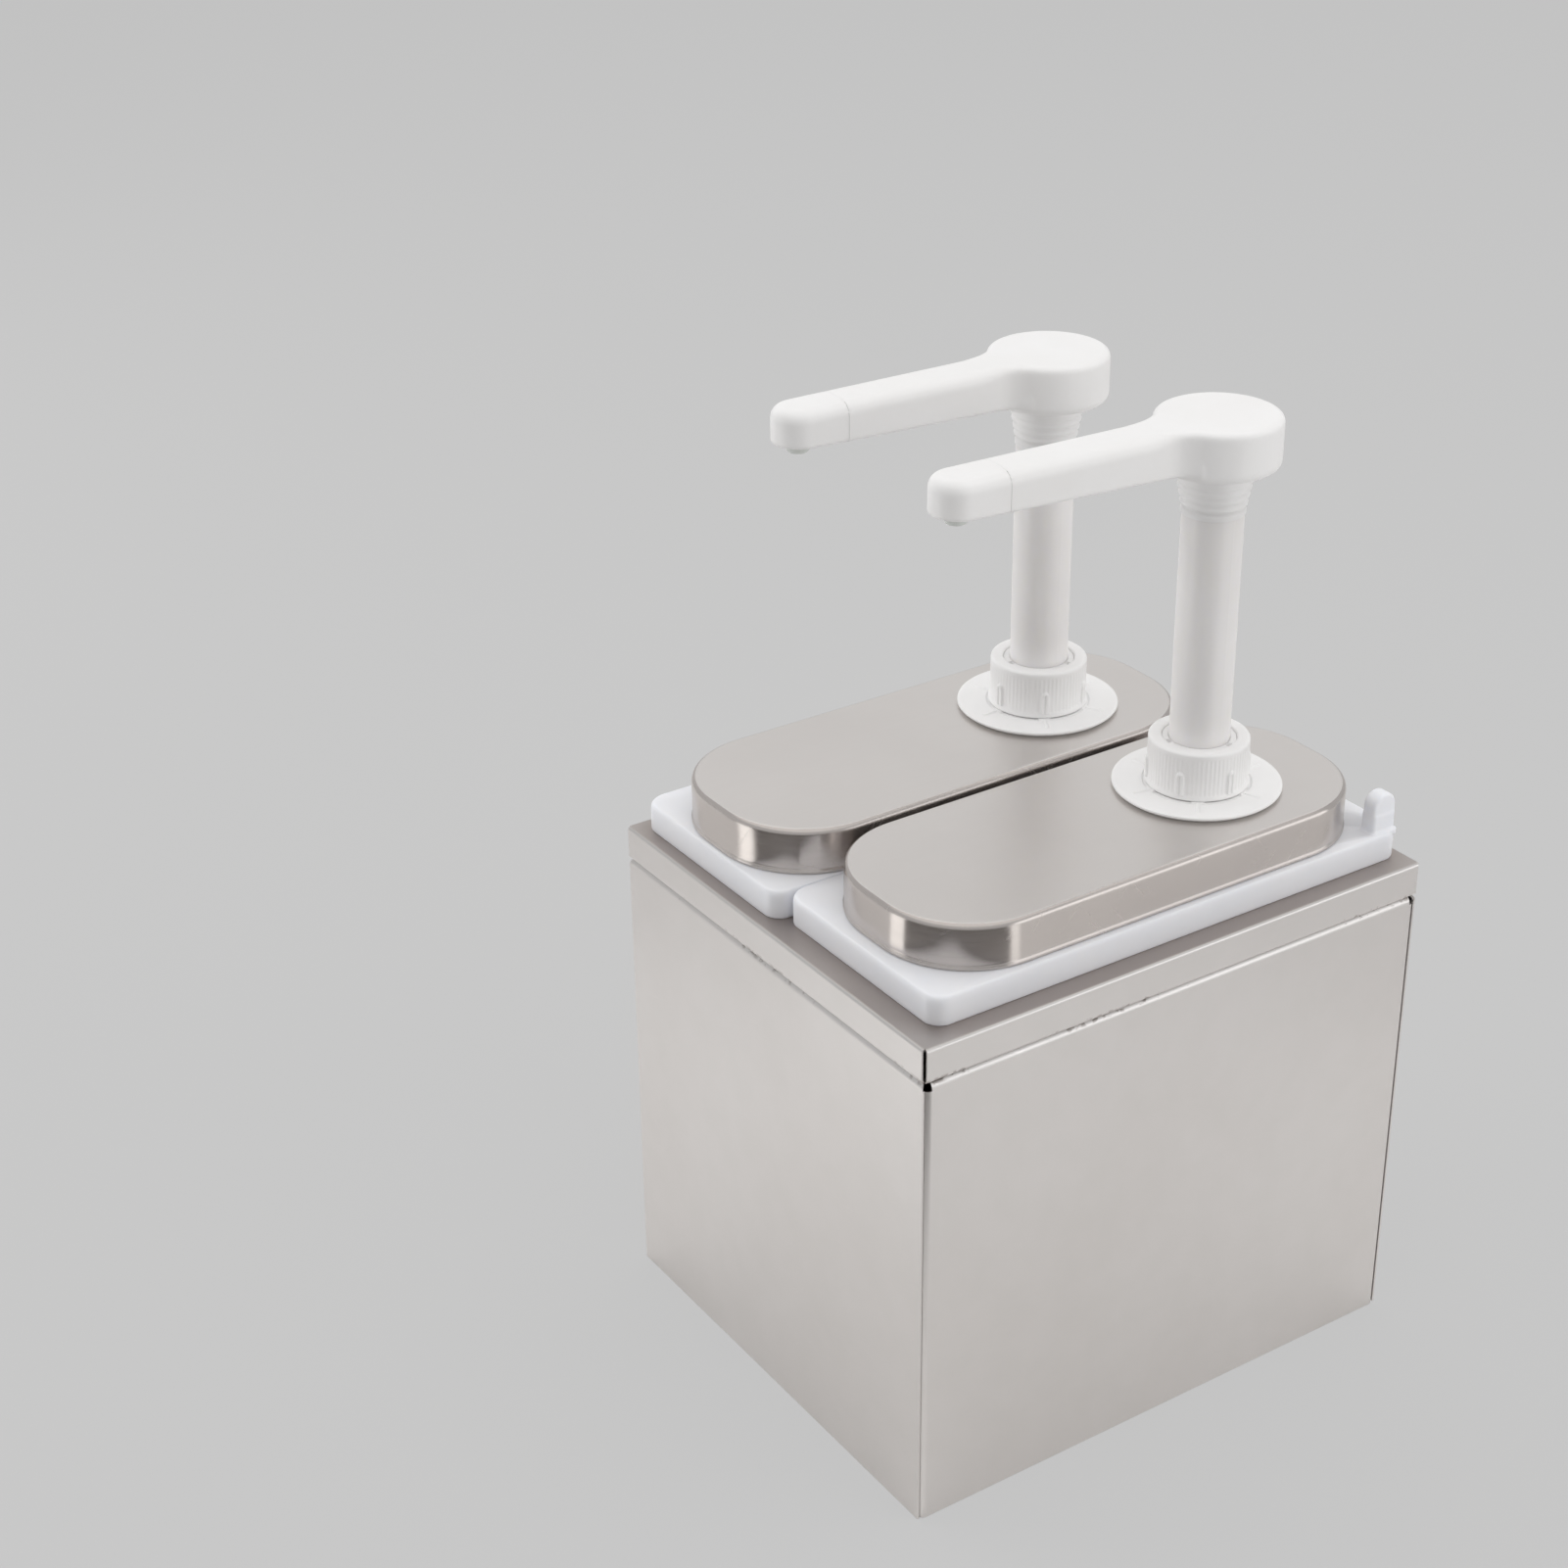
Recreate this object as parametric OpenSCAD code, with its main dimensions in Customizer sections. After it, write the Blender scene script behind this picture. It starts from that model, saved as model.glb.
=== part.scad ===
// Twin sauce pump dispenser: a folded sheet cabinet holds two lift-out jars,
// each with a steel lid and a hand pump with a swinging spout.
// The origin is the centre of the cabinet's base. Front is -Y, up is +Z.

/* [Cabinet] */
// Width of the top plate outside the jars' openings, at the sides
side_margin = 11.7; // [11:0.1:20]
// Width of the top plate beyond the jars' openings, at front and rear
end_margin = 14.5; // [13:0.1:25]
// Height of the jars' feet above the cabinet's base
jar_lift = 24; // [15:1:60]
// Thickness of the cabinet's sheet
sheet_t = 0.8; // [0.6:0.1:1.2]
// Height of the top frame's skirt
skirt_h = 14; // [10:0.5:24]
// Outer radius of the top frame's folds
skirt_fold_r = 1.4; // [1.3:0.1:2.4]
// Width of the lip that is folded in under the skirt
skirt_lip_w = 10; // [6:0.5:11]
// How far the walls lie inside the skirt's face
wall_step = 0.3; // [0.1:0.1:0.6]
// Outer radius of the folds along the walls' tops
wall_fold_r = 3; // [2:0.2:4]
// Outer radius of the side panels' upright folds
corner_fold_r = 2.8; // [2:0.2:4]
// How far the walls' inward flanges stay outside the jars' openings
flange_clear = 0.4; // [0.2:0.1:2]
// How far the front and rear panels stop short of the side faces
corner_gap = 0.8; // [0.4:0.1:1.6]
// Open slit between the folds that meet at a corner
mitre_gap = 0.6; // [0.3:0.1:1.2]
// Height of the base tray's upturned edges
base_edge_h = 12; // [6:0.5:16]

/* [Jars] */
// Width of a jar's body
jar_w = 76; // [70:1:78]
// Length of a jar's body
jar_l = 196; // [184:1:198]
// Width of the flat across each end of a jar, between its round corners
jar_end_flat = 8; // [4:0.5:20]
// Depth of a jar below its rim
jar_depth = 185; // [165:1:190]
// Wall of a jar's body
jar_wall = 2.5; // [1.8:0.1:3.5]
// Radius of the jar's lower edge
jar_foot_r = 8; // [4:0.5:12]
// Height of the collar round the jar's mouth
collar_h = 8; // [5:0.5:9]
// Overhang of the jar's rim at its sides
rim_side = 8.6; // [7.5:0.1:9]
// Overhang of the jar's rim at its ends
rim_end = 12.5; // [9:0.1:13]
// Height of the jar's rim
rim_h = 11.8; // [8:0.1:16]
// Radius of the rim's upright corners
rim_corner_r = 7; // [5:0.5:8]
// Rounding of the rim's upper edge
rim_edge_r = 2.4; // [1:0.1:3]
// Wall of the hollow rim
rim_wall = 3; // [2:0.1:4]
// Gap between the two rims
jar_gap = 0.4; // [0.2:0.1:1]
// Free play of a jar in its opening, to each side
jar_play_side = 3.5; // [3:0.1:4]
// Free play of a jar in its opening, to each end
jar_play_end = 5; // [4:0.1:5.5]
// Length of the lifting lug along the jar
lug_l = 11; // [8:0.5:12]
// Thickness of the lifting lug
lug_t = 7; // [4:0.5:7.5]
// Height of the lifting lug above the rim
lug_h = 16; // [10:0.5:22]
// How far the lug stands in from the rim's faces
lug_inset = 2; // [1.5:0.1:2.5]

/* [Lids] */
// Thickness of a lid's sheet
lid_t = 0.8; // [0.6:0.1:1.2]
// Height of a lid
lid_h = 18.6; // [16:0.2:26]
// Width of the flat across each end of a lid, between its round corners
lid_end_flat = 12.4; // [10:0.2:20]
// Rounding of a lid's upper edge
lid_edge_r = 2.4; // [2:0.2:5]
// Slack between a lid and the jar's collar, at the sides
lid_slack_side = 4.4; // [4:0.1:4.6]
// Slack between a lid and the jar's collar, at the ends
lid_slack_end = 5.45; // [5.05:0.1:6.05]
// Distance from the pump's middle to the lid's rear end
pump_inset = 56.15; // [52:0.05:70]
// Free play of the pump's neck in the lid's hole
lid_hole_play = 2; // [1.8:0.1:2.4]

/* [Pump mounting] */
// Radius of the pump's round foot on the lid
disc_r = 32.3; // [30:0.1:33]
// Thickness of the pump's foot
disc_t = 2.2; // [1.6:0.1:3.5]
// Radius of the threaded stub below the foot
stub_r = 18.2; // [17.5:0.1:20]
// Length of the threaded stub below the foot
stub_l = 14; // [12:0.5:16]
// Radius of the threaded neck above the foot
neck_r = 17; // [16.6:0.1:17.4]
// Thickness of the sealing ring under the lid
gasket_t = 1.5; // [1:0.1:2.5]
// Thickness of the nut under the lid
back_nut_t = 6; // [4:0.5:8]
// Radius of the nut under the lid
back_nut_r = 27; // [24:0.5:30]
// Outer radius of the screw cap
cap_r = 20; // [19.6:0.1:21]
// Height of the screw cap
cap_h = 18.9; // [16:0.1:24]
// Gap between the screw cap and the foot
cap_gap = 0.5; // [0.3:0.1:1.2]
// Height of the screw cap's smooth upper band
cap_band_h = 2.6; // [2:0.1:5]

/* [Pump] */
// Outer radius of the stem
stem_r = 11.5; // [10.5:0.1:12]
// Wall of the stem
stem_wall = 2; // [1.4:0.1:2.6]
// Travel of the pump head
stroke = 70; // [50:1:80]
// Length of stem in sight below the neck sleeve
stem_out_l = 90; // [86:1:120]
// Radius of the chamber's bore
bore_r = 13; // [12.6:0.1:13.2]
// Wall of the chamber
chamber_wall = 2; // [1.6:0.1:2.1]
// Length of the guide bush below the neck's mouth
guide_l = 23; // [16:1:30]
// Length of the piston
piston_h = 14; // [11:0.5:18]
// Radius of the spring's wire
wire_r = 0.8; // [0.6:0.05:1]
// Turns of the spring
spring_turns = 9; // [7:1:10]
// Radius of the spring to the middle of its wire
spring_r = 9.2; // [8.6:0.1:10]
// Radius of the ball in the foot valve
inlet_ball_r = 5.5; // [4.5:0.1:6]
// Radius of the ball in the piston
outlet_ball_r = 4.5; // [4:0.1:4.8]
// Travel of the valve balls
ball_lift = 3; // [2:0.1:4]
// Outer radius of the dip tube
dip_r = 6; // [5:0.1:7]
// Wall of the dip tube
dip_wall = 1.4; // [1:0.1:1.8]
// Gap between the dip tube's end and the jar's floor
dip_gap = 6; // [3:0.5:12]

/* [Spout] */
// Radius of the round head
head_r = 23.5; // [21:0.1:26]
// Height of the round head
head_h = 19.5; // [18.5:0.1:24]
// Rounding of the head's upper edge
head_top_r = 2.6; // [1:0.1:4]
// Rounding of the head's lower edge
head_foot_r = 3.4; // [1:0.1:5]
// Radius of the neck sleeve at the head
sleeve_r = 14.1; // [13.4:0.1:16]
// Height of the neck sleeve below the head
sleeve_h = 18; // [14:0.5:24]
// Distance from the stem to the nozzle
reach = 112; // [90:1:130]
// Width of the arm
arm_w = 19.8; // [17:0.1:21]
// Height of the arm at the head
arm_root_h = 16.8; // [16.4:0.1:17.2]
// Height of the arm at the nozzle
arm_tip_h = 14.4; // [14:0.1:16]
// Rounding of the arm's upper edges
arm_edge_r = 5; // [3:0.1:6]
// Radius of the hollow fillets between head and arm
arm_fillet_r = 14; // [10:0.5:18]
// Length of the end cap behind the nozzle
end_cap_l = 16; // [12:0.5:24]
// Radius of the channel through the arm
channel_r = 4; // [3:0.1:4.2]
// Radius of the nozzle where it leaves the arm
nozzle_r = 5.6; // [4.8:0.1:6]
// Radius of the nozzle's mouth
nozzle_mouth_r = 3.9; // [3.6:0.1:4.4]
// Height of the nozzle below the arm
nozzle_h = 3.5; // [2:0.1:8]

/* [Hidden] */
RIGHT = 0;
LEFT = 1;
CABINET_NODES = [
    "base_tray", "front_panel", "rear_panel", "left_side_panel", "right_side_panel", "top_frame"
];
UNIT_NODES = [
    "jar", "lid", "pump_foot", "sealing_ring", "back_nut", "screw_cap", "guide_bush", "chamber",
    "spring", "spring_seat", "inlet_ball", "dip_tube", "piston", "piston_seal", "outlet_ball",
    "ball_stop", "stem", "neck_sleeve", "spout_head", "end_cap", "nozzle"
];

$fn = 96;
// Overrun of every cut
cut = 1;
// Slip fit between pieces of one assembly, and between a shaft and its bore
slip = 0.05;
// Free gap between pieces that move past each other
free_gap = 0.3;
// How much rounder the openings are than the jars
opening_ease = 2;

// Where each jar lies in its opening, right then left, as shares of the play
jar_shift_shares = [[-0.686, 0.8], [-0.686, -0.16]];
// Where each lid lies on its jar, as shares of the slack
lid_shift_shares = [[0.136, -0.092], [0.773, -0.807]];
// Where each pump lies in its lid's hole, as shares of the play
pump_shift_shares = [[0, -0.8], [0, 0.8]];
// How far each spout is turned about its stem at rest
spout_turns = [-3, -2];
// How far each screw cap, pump foot and guide bush is turned at rest
cap_turns = [-1, -30];
foot_turns = [20, 30];
bush_turns = [17, 24];

// Sizes of the jar's rim and its opening
jar_corner_r = (jar_w - jar_end_flat) / 2;
rim_w = jar_w + 2 * rim_side;
rim_l = jar_l + 2 * rim_end;
jar_pitch = rim_w + jar_gap;
opening_w = jar_w + 2 * jar_play_side;
opening_l = jar_l + 2 * jar_play_end;
opening_corner_r = jar_corner_r + opening_ease;
lid_w = jar_w + 2 * (lid_slack_side + lid_t);
lid_l = jar_l + 2 * (lid_slack_end + lid_t);
lid_corner_r = (lid_w - lid_end_flat) / 2;
pump_back = lid_l / 2 - pump_inset;

// Outer sizes of the cabinet
cabinet_w = jar_pitch + opening_w + 2 * side_margin;
cabinet_d = opening_l + 2 * end_margin;
cabinet_h = jar_lift + jar_depth;

// Levels of the cabinet and the jars
skirt_z = cabinet_h - skirt_h;
rim_z = cabinet_h + rim_h;
jar_z = jar_lift;
lid_z = rim_z + lid_h;

// Faces of the cabinet's walls
wall_x = cabinet_w / 2 - wall_step;
wall_y = cabinet_d / 2 - wall_step;
front_half_w = wall_x - corner_gap;
flange_y = wall_y - sheet_t;
wall_flange_w = side_margin - wall_step - flange_clear;

// Levels of the pump's mounting
disc_z = lid_z + disc_t;
cap_z = disc_z + cap_gap;
cap_top_z = cap_z + cap_h;
cap_top_t = 2.4;
bush_rim_t = 1.5;
chamber_rim_t = 1.5;
neck_z = cap_top_z - cap_top_t - bush_rim_t - chamber_rim_t - 2 * slip;
gasket_z = lid_z - lid_t - gasket_t;
cap_bore_r = neck_r + free_gap;
cap_step_share = 0.3;
cap_skirt_r = cap_r - cap_step_share * (cap_r - cap_bore_r);
chamber_r = bore_r + chamber_wall;
foot_bore_r = chamber_r + free_gap;
bush_collar_t = 2.5;
bush_collar_r = stem_r + bush_collar_t;
bush_bore_r = stem_r + slip;

// Levels of the piston and its valve
piston_z = neck_z - guide_l - free_gap;
piston_foot_z = piston_z - piston_h;
hub_r = stem_r - stem_wall - slip;
valve_hole_share = 0.62;
outlet_hole_r = valve_hole_share * outlet_ball_r;
outlet_cage_r = outlet_ball_r + 0.15 * outlet_ball_r;
outlet_ball_z = piston_z - outlet_hole_r + sqrt(2) * (outlet_ball_r + slip);
ball_stop_z = outlet_ball_z + outlet_ball_r + ball_lift + slip;
ball_stop_t = 1.6;
snap_d = 0.4;
snap_h = 1.6;
snap_z = piston_z + 0.6 * (ball_stop_z - piston_z);
seal_h = 5.6;
seal_groove_d = 2.2;
seal_groove_r = bore_r - seal_groove_d;
seal_z = piston_foot_z + (piston_h - seal_h) / 2;

// Levels of the spring, the foot valve and the dip tube
spring_solid_l = 2 * wire_r * (spring_turns + 1);
spring_reserve = 6;
spring_l = stroke + spring_solid_l + spring_reserve;
spring_seat_z = piston_foot_z - spring_l;
seat_plate_t = 2;
seat_ring_t = 2;
floor_t = 4;
floor_seat_t = 3.6;
inlet_hole_r = valve_hole_share * inlet_ball_r;
inlet_rise = sqrt(2) * (inlet_ball_r + slip) - inlet_hole_r - floor_seat_t;
seat_h = inlet_rise + inlet_ball_r + ball_lift + slip + seat_plate_t;
floor_z = spring_seat_z - seat_h;
inlet_ball_z = floor_z + inlet_rise;
inlet_cage_play = 0.7;
inlet_cage_r = inlet_ball_r + inlet_cage_play;
seat_hole_r = 1.6;
socket_l = 12;
socket_wall = 2;
socket_z = floor_z - floor_t;
chamber_foot_z = socket_z - socket_l;
dip_end_z = jar_z + jar_wall + dip_gap;

// Levels of the sleeve, the head and the arm
sleeve_z = cap_top_z + stem_out_l;
head_z = sleeve_z + sleeve_h;
head_top_z = head_z + head_h;
stem_grip = 9;
stem_top_z = head_z + stem_grip;
arm_slope = atan((arm_root_h - arm_tip_h) / (reach - head_r));
arm_end = reach - end_cap_l;
arm_foot_z = head_top_z - arm_tip_h;
channel_drop = 1;
channel_z = head_top_z - arm_tip_h / 2 - channel_drop;
plug_l = 8;
nozzle_plug_step = 0.3;
nozzle_plug_r = nozzle_mouth_r - nozzle_plug_step;
nozzle_wall = 1.1;
nozzle_bore_r = nozzle_plug_r - nozzle_wall;
nozzle_plug_h = 3;

// Colours
STEEL = [0.76, 0.74, 0.72];
JAR_WHITE = [0.86, 0.88, 0.92];
WHITE = [0.95, 0.95, 0.94];
NATURAL = [0.88, 0.88, 0.84];
GREY = [0.55, 0.55, 0.56];

function jar_at(side) = [
    (side == RIGHT ? 1 : -1) * jar_pitch / 2 + jar_shift_shares[side][0] * jar_play_side,
    jar_shift_shares[side][1] * jar_play_end
];
function lid_at(side) = jar_at(side) + [
    lid_shift_shares[side][0] * lid_slack_side,
    lid_shift_shares[side][1] * lid_slack_end
];
function pump_at(side) = lid_at(side) + [0, pump_back] + lid_hole_play * pump_shift_shares[side];

module at_jar(side) {
    translate([jar_at(side)[0], jar_at(side)[1], 0])
        children();
}

module at_lid(side) {
    translate([lid_at(side)[0], lid_at(side)[1], 0])
        children();
}

module at_pump(side) {
    translate([pump_at(side)[0], pump_at(side)[1], 0])
        children();
}

module at_spout(side) {
    at_pump(side)
        rotate([0, 0, spout_turns[side]])
            children();
}

// A ring or disc from z_low to z_high
module ring(r_out, r_in, z_low, z_high) {
    translate([0, 0, z_low])
        difference() {
            cylinder(r = r_out, h = z_high - z_low);
            if (r_in > 0)
                translate([0, 0, -cut])
                    cylinder(r = r_in, h = z_high - z_low + 2 * cut);
        }
}

// A rectangle of w by l with round corners
module rounded_plan(w, l, r) {
    square([w - 2 * r, l], center = true);
    square([w, l - 2 * r], center = true);
    for (x = [-1, 1], y = [-1, 1])
        translate([x * (w / 2 - r), y * (l / 2 - r)])
            circle(r);
}

// The section of an upright edge: x wide, h high, with its outer top corner round
module edge_section(x, h, r) {
    square([x, h - r]);
    square([x - r, h]);
    translate([x - r, h - r])
        intersection() {
            circle(r);
            square([r, r]);
        }
}

// A block with round upright corners and a round upper edge
module soft_block(w, l, corner_r, h, edge_r) {
    half_x = w / 2 - corner_r;
    half_y = l / 2 - corner_r;
    for (quarter = [0 : 3])
        translate([
            (quarter == 0 || quarter == 3 ? 1 : -1) * half_x,
            (quarter < 2 ? 1 : -1) * half_y,
            0
        ])
            rotate([0, 0, 90 * quarter])
                rotate_extrude(angle = 90)
                    edge_section(corner_r, h, edge_r);
    for (turn = [0, 180])
        rotate([0, 0, turn]) {
            translate([-half_x, half_y, 0])
                rotate([90, 0, 90])
                    linear_extrude(2 * half_x)
                        edge_section(corner_r, h, edge_r);
            translate([half_x, half_y, 0])
                rotate([90, 0, 0])
                    linear_extrude(2 * half_y)
                        edge_section(corner_r, h, edge_r);
        }
    translate([-half_x, -half_y, 0])
        cube([2 * half_x, 2 * half_y, h]);
}

// A quarter of a bent sheet in plan, its outer radius r about the origin
module fold_section(r) {
    difference() {
        intersection() {
            circle(r);
            square([r, r]);
        }
        circle(r - sheet_t);
    }
}

// A wall with its top folded inward, in section: the outer face at x = 0, inside at -x
module wall_section(h) {
    translate([-sheet_t, 0])
        square([sheet_t, h - wall_fold_r]);
    translate([-wall_fold_r, h - wall_fold_r])
        fold_section(wall_fold_r);
    translate([-wall_flange_w, h - sheet_t])
        square([wall_flange_w - wall_fold_r, sheet_t]);
}

// A wall panel w wide whose outer face looks to +X, cut to a mitre at both ends of its fold
module folded_wall(w, corner_x) {
    difference() {
        translate([0, w / 2, 0])
            rotate([90, 0, 0])
                linear_extrude(w)
                    wall_section(skirt_z);
        for (end = [0, 1])
            mirror([0, end, 0])
                translate([0, 0, skirt_z - wall_fold_r])
                    linear_extrude(wall_fold_r + cut)
                        polygon([
                            [cut, corner_x - mitre_gap + cut],
                            [cut, corner_x + cut],
                            [-wall_flange_w - cut, corner_x + cut],
                            [-wall_flange_w - cut, corner_x - mitre_gap - wall_flange_w - cut]
                        ]);
    }
}

module front_panel() {
    color(STEEL)
        translate([0, -wall_y, 0])
            rotate([0, 0, -90])
                folded_wall(2 * front_half_w, wall_x);
}

module rear_panel() {
    color(STEEL)
        translate([0, wall_y, 0])
            rotate([0, 0, 90])
                folded_wall(2 * front_half_w, wall_x);
}

// A side panel whose outer face looks to +X, with its upright edges folded behind front and rear
module side_panel() {
    flat_half = flange_y - corner_fold_r;
    fold_h = skirt_z - wall_fold_r - mitre_gap;
    translate([wall_x, 0, 0])
        folded_wall(2 * flat_half, wall_y);
    for (end = [0, 1])
        mirror([0, end, 0]) {
            translate([wall_x - corner_fold_r, flat_half, 0])
                linear_extrude(fold_h)
                    fold_section(corner_fold_r);
            translate([wall_x - wall_flange_w, flange_y - sheet_t, 0])
                cube([wall_flange_w - corner_fold_r, sheet_t, fold_h]);
        }
}

module left_side_panel() {
    color(STEEL)
        rotate([0, 0, 180])
            side_panel();
}

module right_side_panel() {
    color(STEEL)
        side_panel();
}

module base_tray() {
    tray_x = wall_x - sheet_t;
    tray_y = flange_y - sheet_t;
    color(STEEL)
        difference() {
            linear_extrude(base_edge_h)
                rounded_plan(2 * tray_x, 2 * tray_y, corner_fold_r);
            translate([0, 0, sheet_t])
                linear_extrude(base_edge_h)
                    rounded_plan(
                        2 * (tray_x - sheet_t),
                        2 * (tray_y - sheet_t),
                        corner_fold_r - sheet_t
                    );
        }
}

// The folded edge of the top frame in section: plate, skirt and lip, outer face at x = 0
module skirt_section() {
    translate([-skirt_fold_r, cabinet_h - skirt_fold_r])
        fold_section(skirt_fold_r);
    translate([-sheet_t, skirt_z + skirt_fold_r])
        square([sheet_t, skirt_h - 2 * skirt_fold_r]);
    translate([-skirt_fold_r, skirt_z + skirt_fold_r])
        mirror([0, 1])
            fold_section(skirt_fold_r);
    translate([-skirt_lip_w, skirt_z])
        square([skirt_lip_w - skirt_fold_r, sheet_t]);
}

module skirt_edge(w, mitre_half) {
    slit_x = -(skirt_fold_r + sheet_t) / 2;
    difference() {
        translate([0, w / 2, 0])
            rotate([90, 0, 0])
                linear_extrude(w)
                    skirt_section();
        for (end = [0, 1])
            mirror([0, end, 0])
                translate([0, 0, skirt_z - cut])
                    linear_extrude(skirt_h - skirt_fold_r)
                        polygon([
                            [slit_x, mitre_half - skirt_fold_r - mitre_gap],
                            [slit_x, mitre_half],
                            [-skirt_lip_w - cut, mitre_half],
                            [-skirt_lip_w - cut, mitre_half - skirt_lip_w - cut - mitre_gap]
                        ]);
    }
}

module top_frame() {
    plate_x = cabinet_w / 2 - skirt_fold_r;
    plate_y = cabinet_d / 2 - skirt_fold_r;
    color(STEEL) {
        translate([0, 0, cabinet_h - sheet_t])
            linear_extrude(sheet_t)
                difference() {
                    square([2 * plate_x, 2 * plate_y], center = true);
                    for (side = [-1, 1])
                        translate([side * jar_pitch / 2, 0])
                            rounded_plan(opening_w, opening_l, opening_corner_r);
                }
        for (turn = [0, 180])
            rotate([0, 0, turn]) {
                translate([cabinet_w / 2, 0, 0])
                    skirt_edge(2 * plate_y, cabinet_d / 2);
                translate([0, cabinet_d / 2, 0])
                    rotate([0, 0, 90])
                        skirt_edge(2 * plate_x, cabinet_w / 2);
            }
    }
}

// The lifting lug at the jar's rear right corner: a flat tab with a round top
module lug() {
    translate([
        rim_w / 2 - lug_inset - lug_t,
        rim_l / 2 - lug_inset - lug_l / 2,
        rim_z
    ])
        rotate([90, 0, 90])
            linear_extrude(lug_t) {
                translate([-lug_l / 2, 0])
                    square([lug_l, lug_h - lug_l / 2]);
                translate([0, lug_h - lug_l / 2])
                    circle(lug_l / 2);
            }
}

module jar_body_block(inset, h) {
    soft_block(
        jar_w - 2 * inset,
        jar_l - 2 * inset,
        jar_corner_r - inset,
        h,
        jar_foot_r - inset
    );
}

module jar(side) {
    body_h = jar_depth + rim_h + collar_h;
    color(JAR_WHITE)
        at_jar(side) {
            difference() {
                union() {
                    difference() {
                        translate([0, 0, cabinet_h])
                            soft_block(rim_w, rim_l, rim_corner_r, rim_h, rim_edge_r);
                        translate([0, 0, cabinet_h - cut])
                            linear_extrude(rim_h - rim_wall + cut)
                                rounded_plan(
                                    rim_w - 2 * rim_wall,
                                    rim_l - 2 * rim_wall,
                                    rim_corner_r - rim_wall
                                );
                    }
                    translate([0, 0, jar_z + body_h])
                        rotate([180, 0, 0])
                            jar_body_block(0, body_h);
                }
                translate([0, 0, jar_z + body_h + cut])
                    rotate([180, 0, 0])
                        jar_body_block(jar_wall, body_h - jar_wall + cut);
            }
            lug();
        }
}

module lid(side) {
    color(STEEL)
        at_lid(side)
            difference() {
                translate([0, 0, rim_z])
                    soft_block(lid_w, lid_l, lid_corner_r, lid_h, lid_edge_r);
                translate([0, 0, rim_z - cut])
                    soft_block(
                        lid_w - 2 * lid_t,
                        lid_l - 2 * lid_t,
                        lid_corner_r - lid_t,
                        lid_h - lid_t + cut,
                        lid_edge_r - lid_t
                    );
                translate([0, pump_back, rim_z])
                    cylinder(r = stub_r + lid_hole_play, h = lid_h + cut);
            }
}

// Six low ribs on the pump's foot, outside the grooves
module foot_ribs() {
    rib_h = disc_t / 5;
    rib_w = disc_r / 25;
    inner_r = cap_r + 2 * free_gap + rib_w;
    for (turn = [0 : 60 : 300])
        rotate([0, 0, turn])
            translate([inner_r, -rib_w / 2, disc_z - rib_h])
                cube([0.86 * disc_r - inner_r, rib_w, 2 * rib_h]);
}

// Six shallow groove segments in the pump's foot, round the screw cap
module foot_grooves() {
    depth = disc_t / 5;
    for (turn = [0 : 60 : 300])
        rotate([0, 0, turn + 6])
            rotate_extrude(angle = 48)
                translate([cap_r - free_gap / 2, disc_z - depth])
                    square([disc_r / 36, 2 * depth]);
}

module pump_foot(side) {
    color(WHITE)
        at_pump(side)
            rotate([0, 0, foot_turns[side]]) {
                difference() {
                    union() {
                        ring(disc_r, 0, lid_z, disc_z);
                        ring(neck_r, 0, lid_z, neck_z);
                        ring(stub_r, 0, lid_z - stub_l, disc_z);
                    }
                    ring(foot_bore_r, 0, lid_z - stub_l - cut, neck_z + cut);
                    foot_grooves();
                }
                foot_ribs();
            }
}

module sealing_ring(side) {
    color(GREY)
        at_pump(side)
            ring(back_nut_r, stub_r + slip, gasket_z, gasket_z + gasket_t);
}

module back_nut(side) {
    notches = 8;
    notch_r = back_nut_r / 9;
    color(WHITE)
        at_pump(side)
            difference() {
                ring(back_nut_r, stub_r + slip, gasket_z - back_nut_t, gasket_z);
                for (turn = [0 : 360 / notches : 359])
                    rotate([0, 0, turn])
                        translate([back_nut_r, 0, gasket_z - back_nut_t - cut])
                            cylinder(r = notch_r, h = back_nut_t + 2 * cut);
            }
}

// The screw cap's outline in plan below its smooth band: faint upright flutes
module fluted_plan() {
    flutes = 72;
    flute_d = (cap_r - cap_bore_r) / 18;
    polygon([
        for (i = [0 : 2 * flutes - 1])
            let (r = cap_skirt_r - (i % 2) * flute_d, a = 180 * i / flutes)
                [r * cos(a), r * sin(a)]
    ]);
}

// A screw cap's arched grip ribs
module grip_ribs() {
    ribs = 6;
    rib_w = cap_r / 5.5;
    rib_h = 0.58 * cap_h - rib_w / 2;
    edge = (cap_r - cap_bore_r) / 3;
    for (turn = [0 : 360 / ribs : 359])
        rotate([0, 0, turn])
            intersection() {
                translate([cap_bore_r + edge, 0, cap_z + edge])
                    rotate([90, 0, 90])
                        linear_extrude(cap_r - cap_bore_r) {
                            translate([-rib_w / 2, 0])
                                square([rib_w, rib_h - edge]);
                            translate([0, rib_h - edge])
                                circle(rib_w / 2);
                        }
                ring(cap_r, cap_bore_r + edge, cap_z, cap_top_z - cap_band_h);
            }
}

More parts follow.
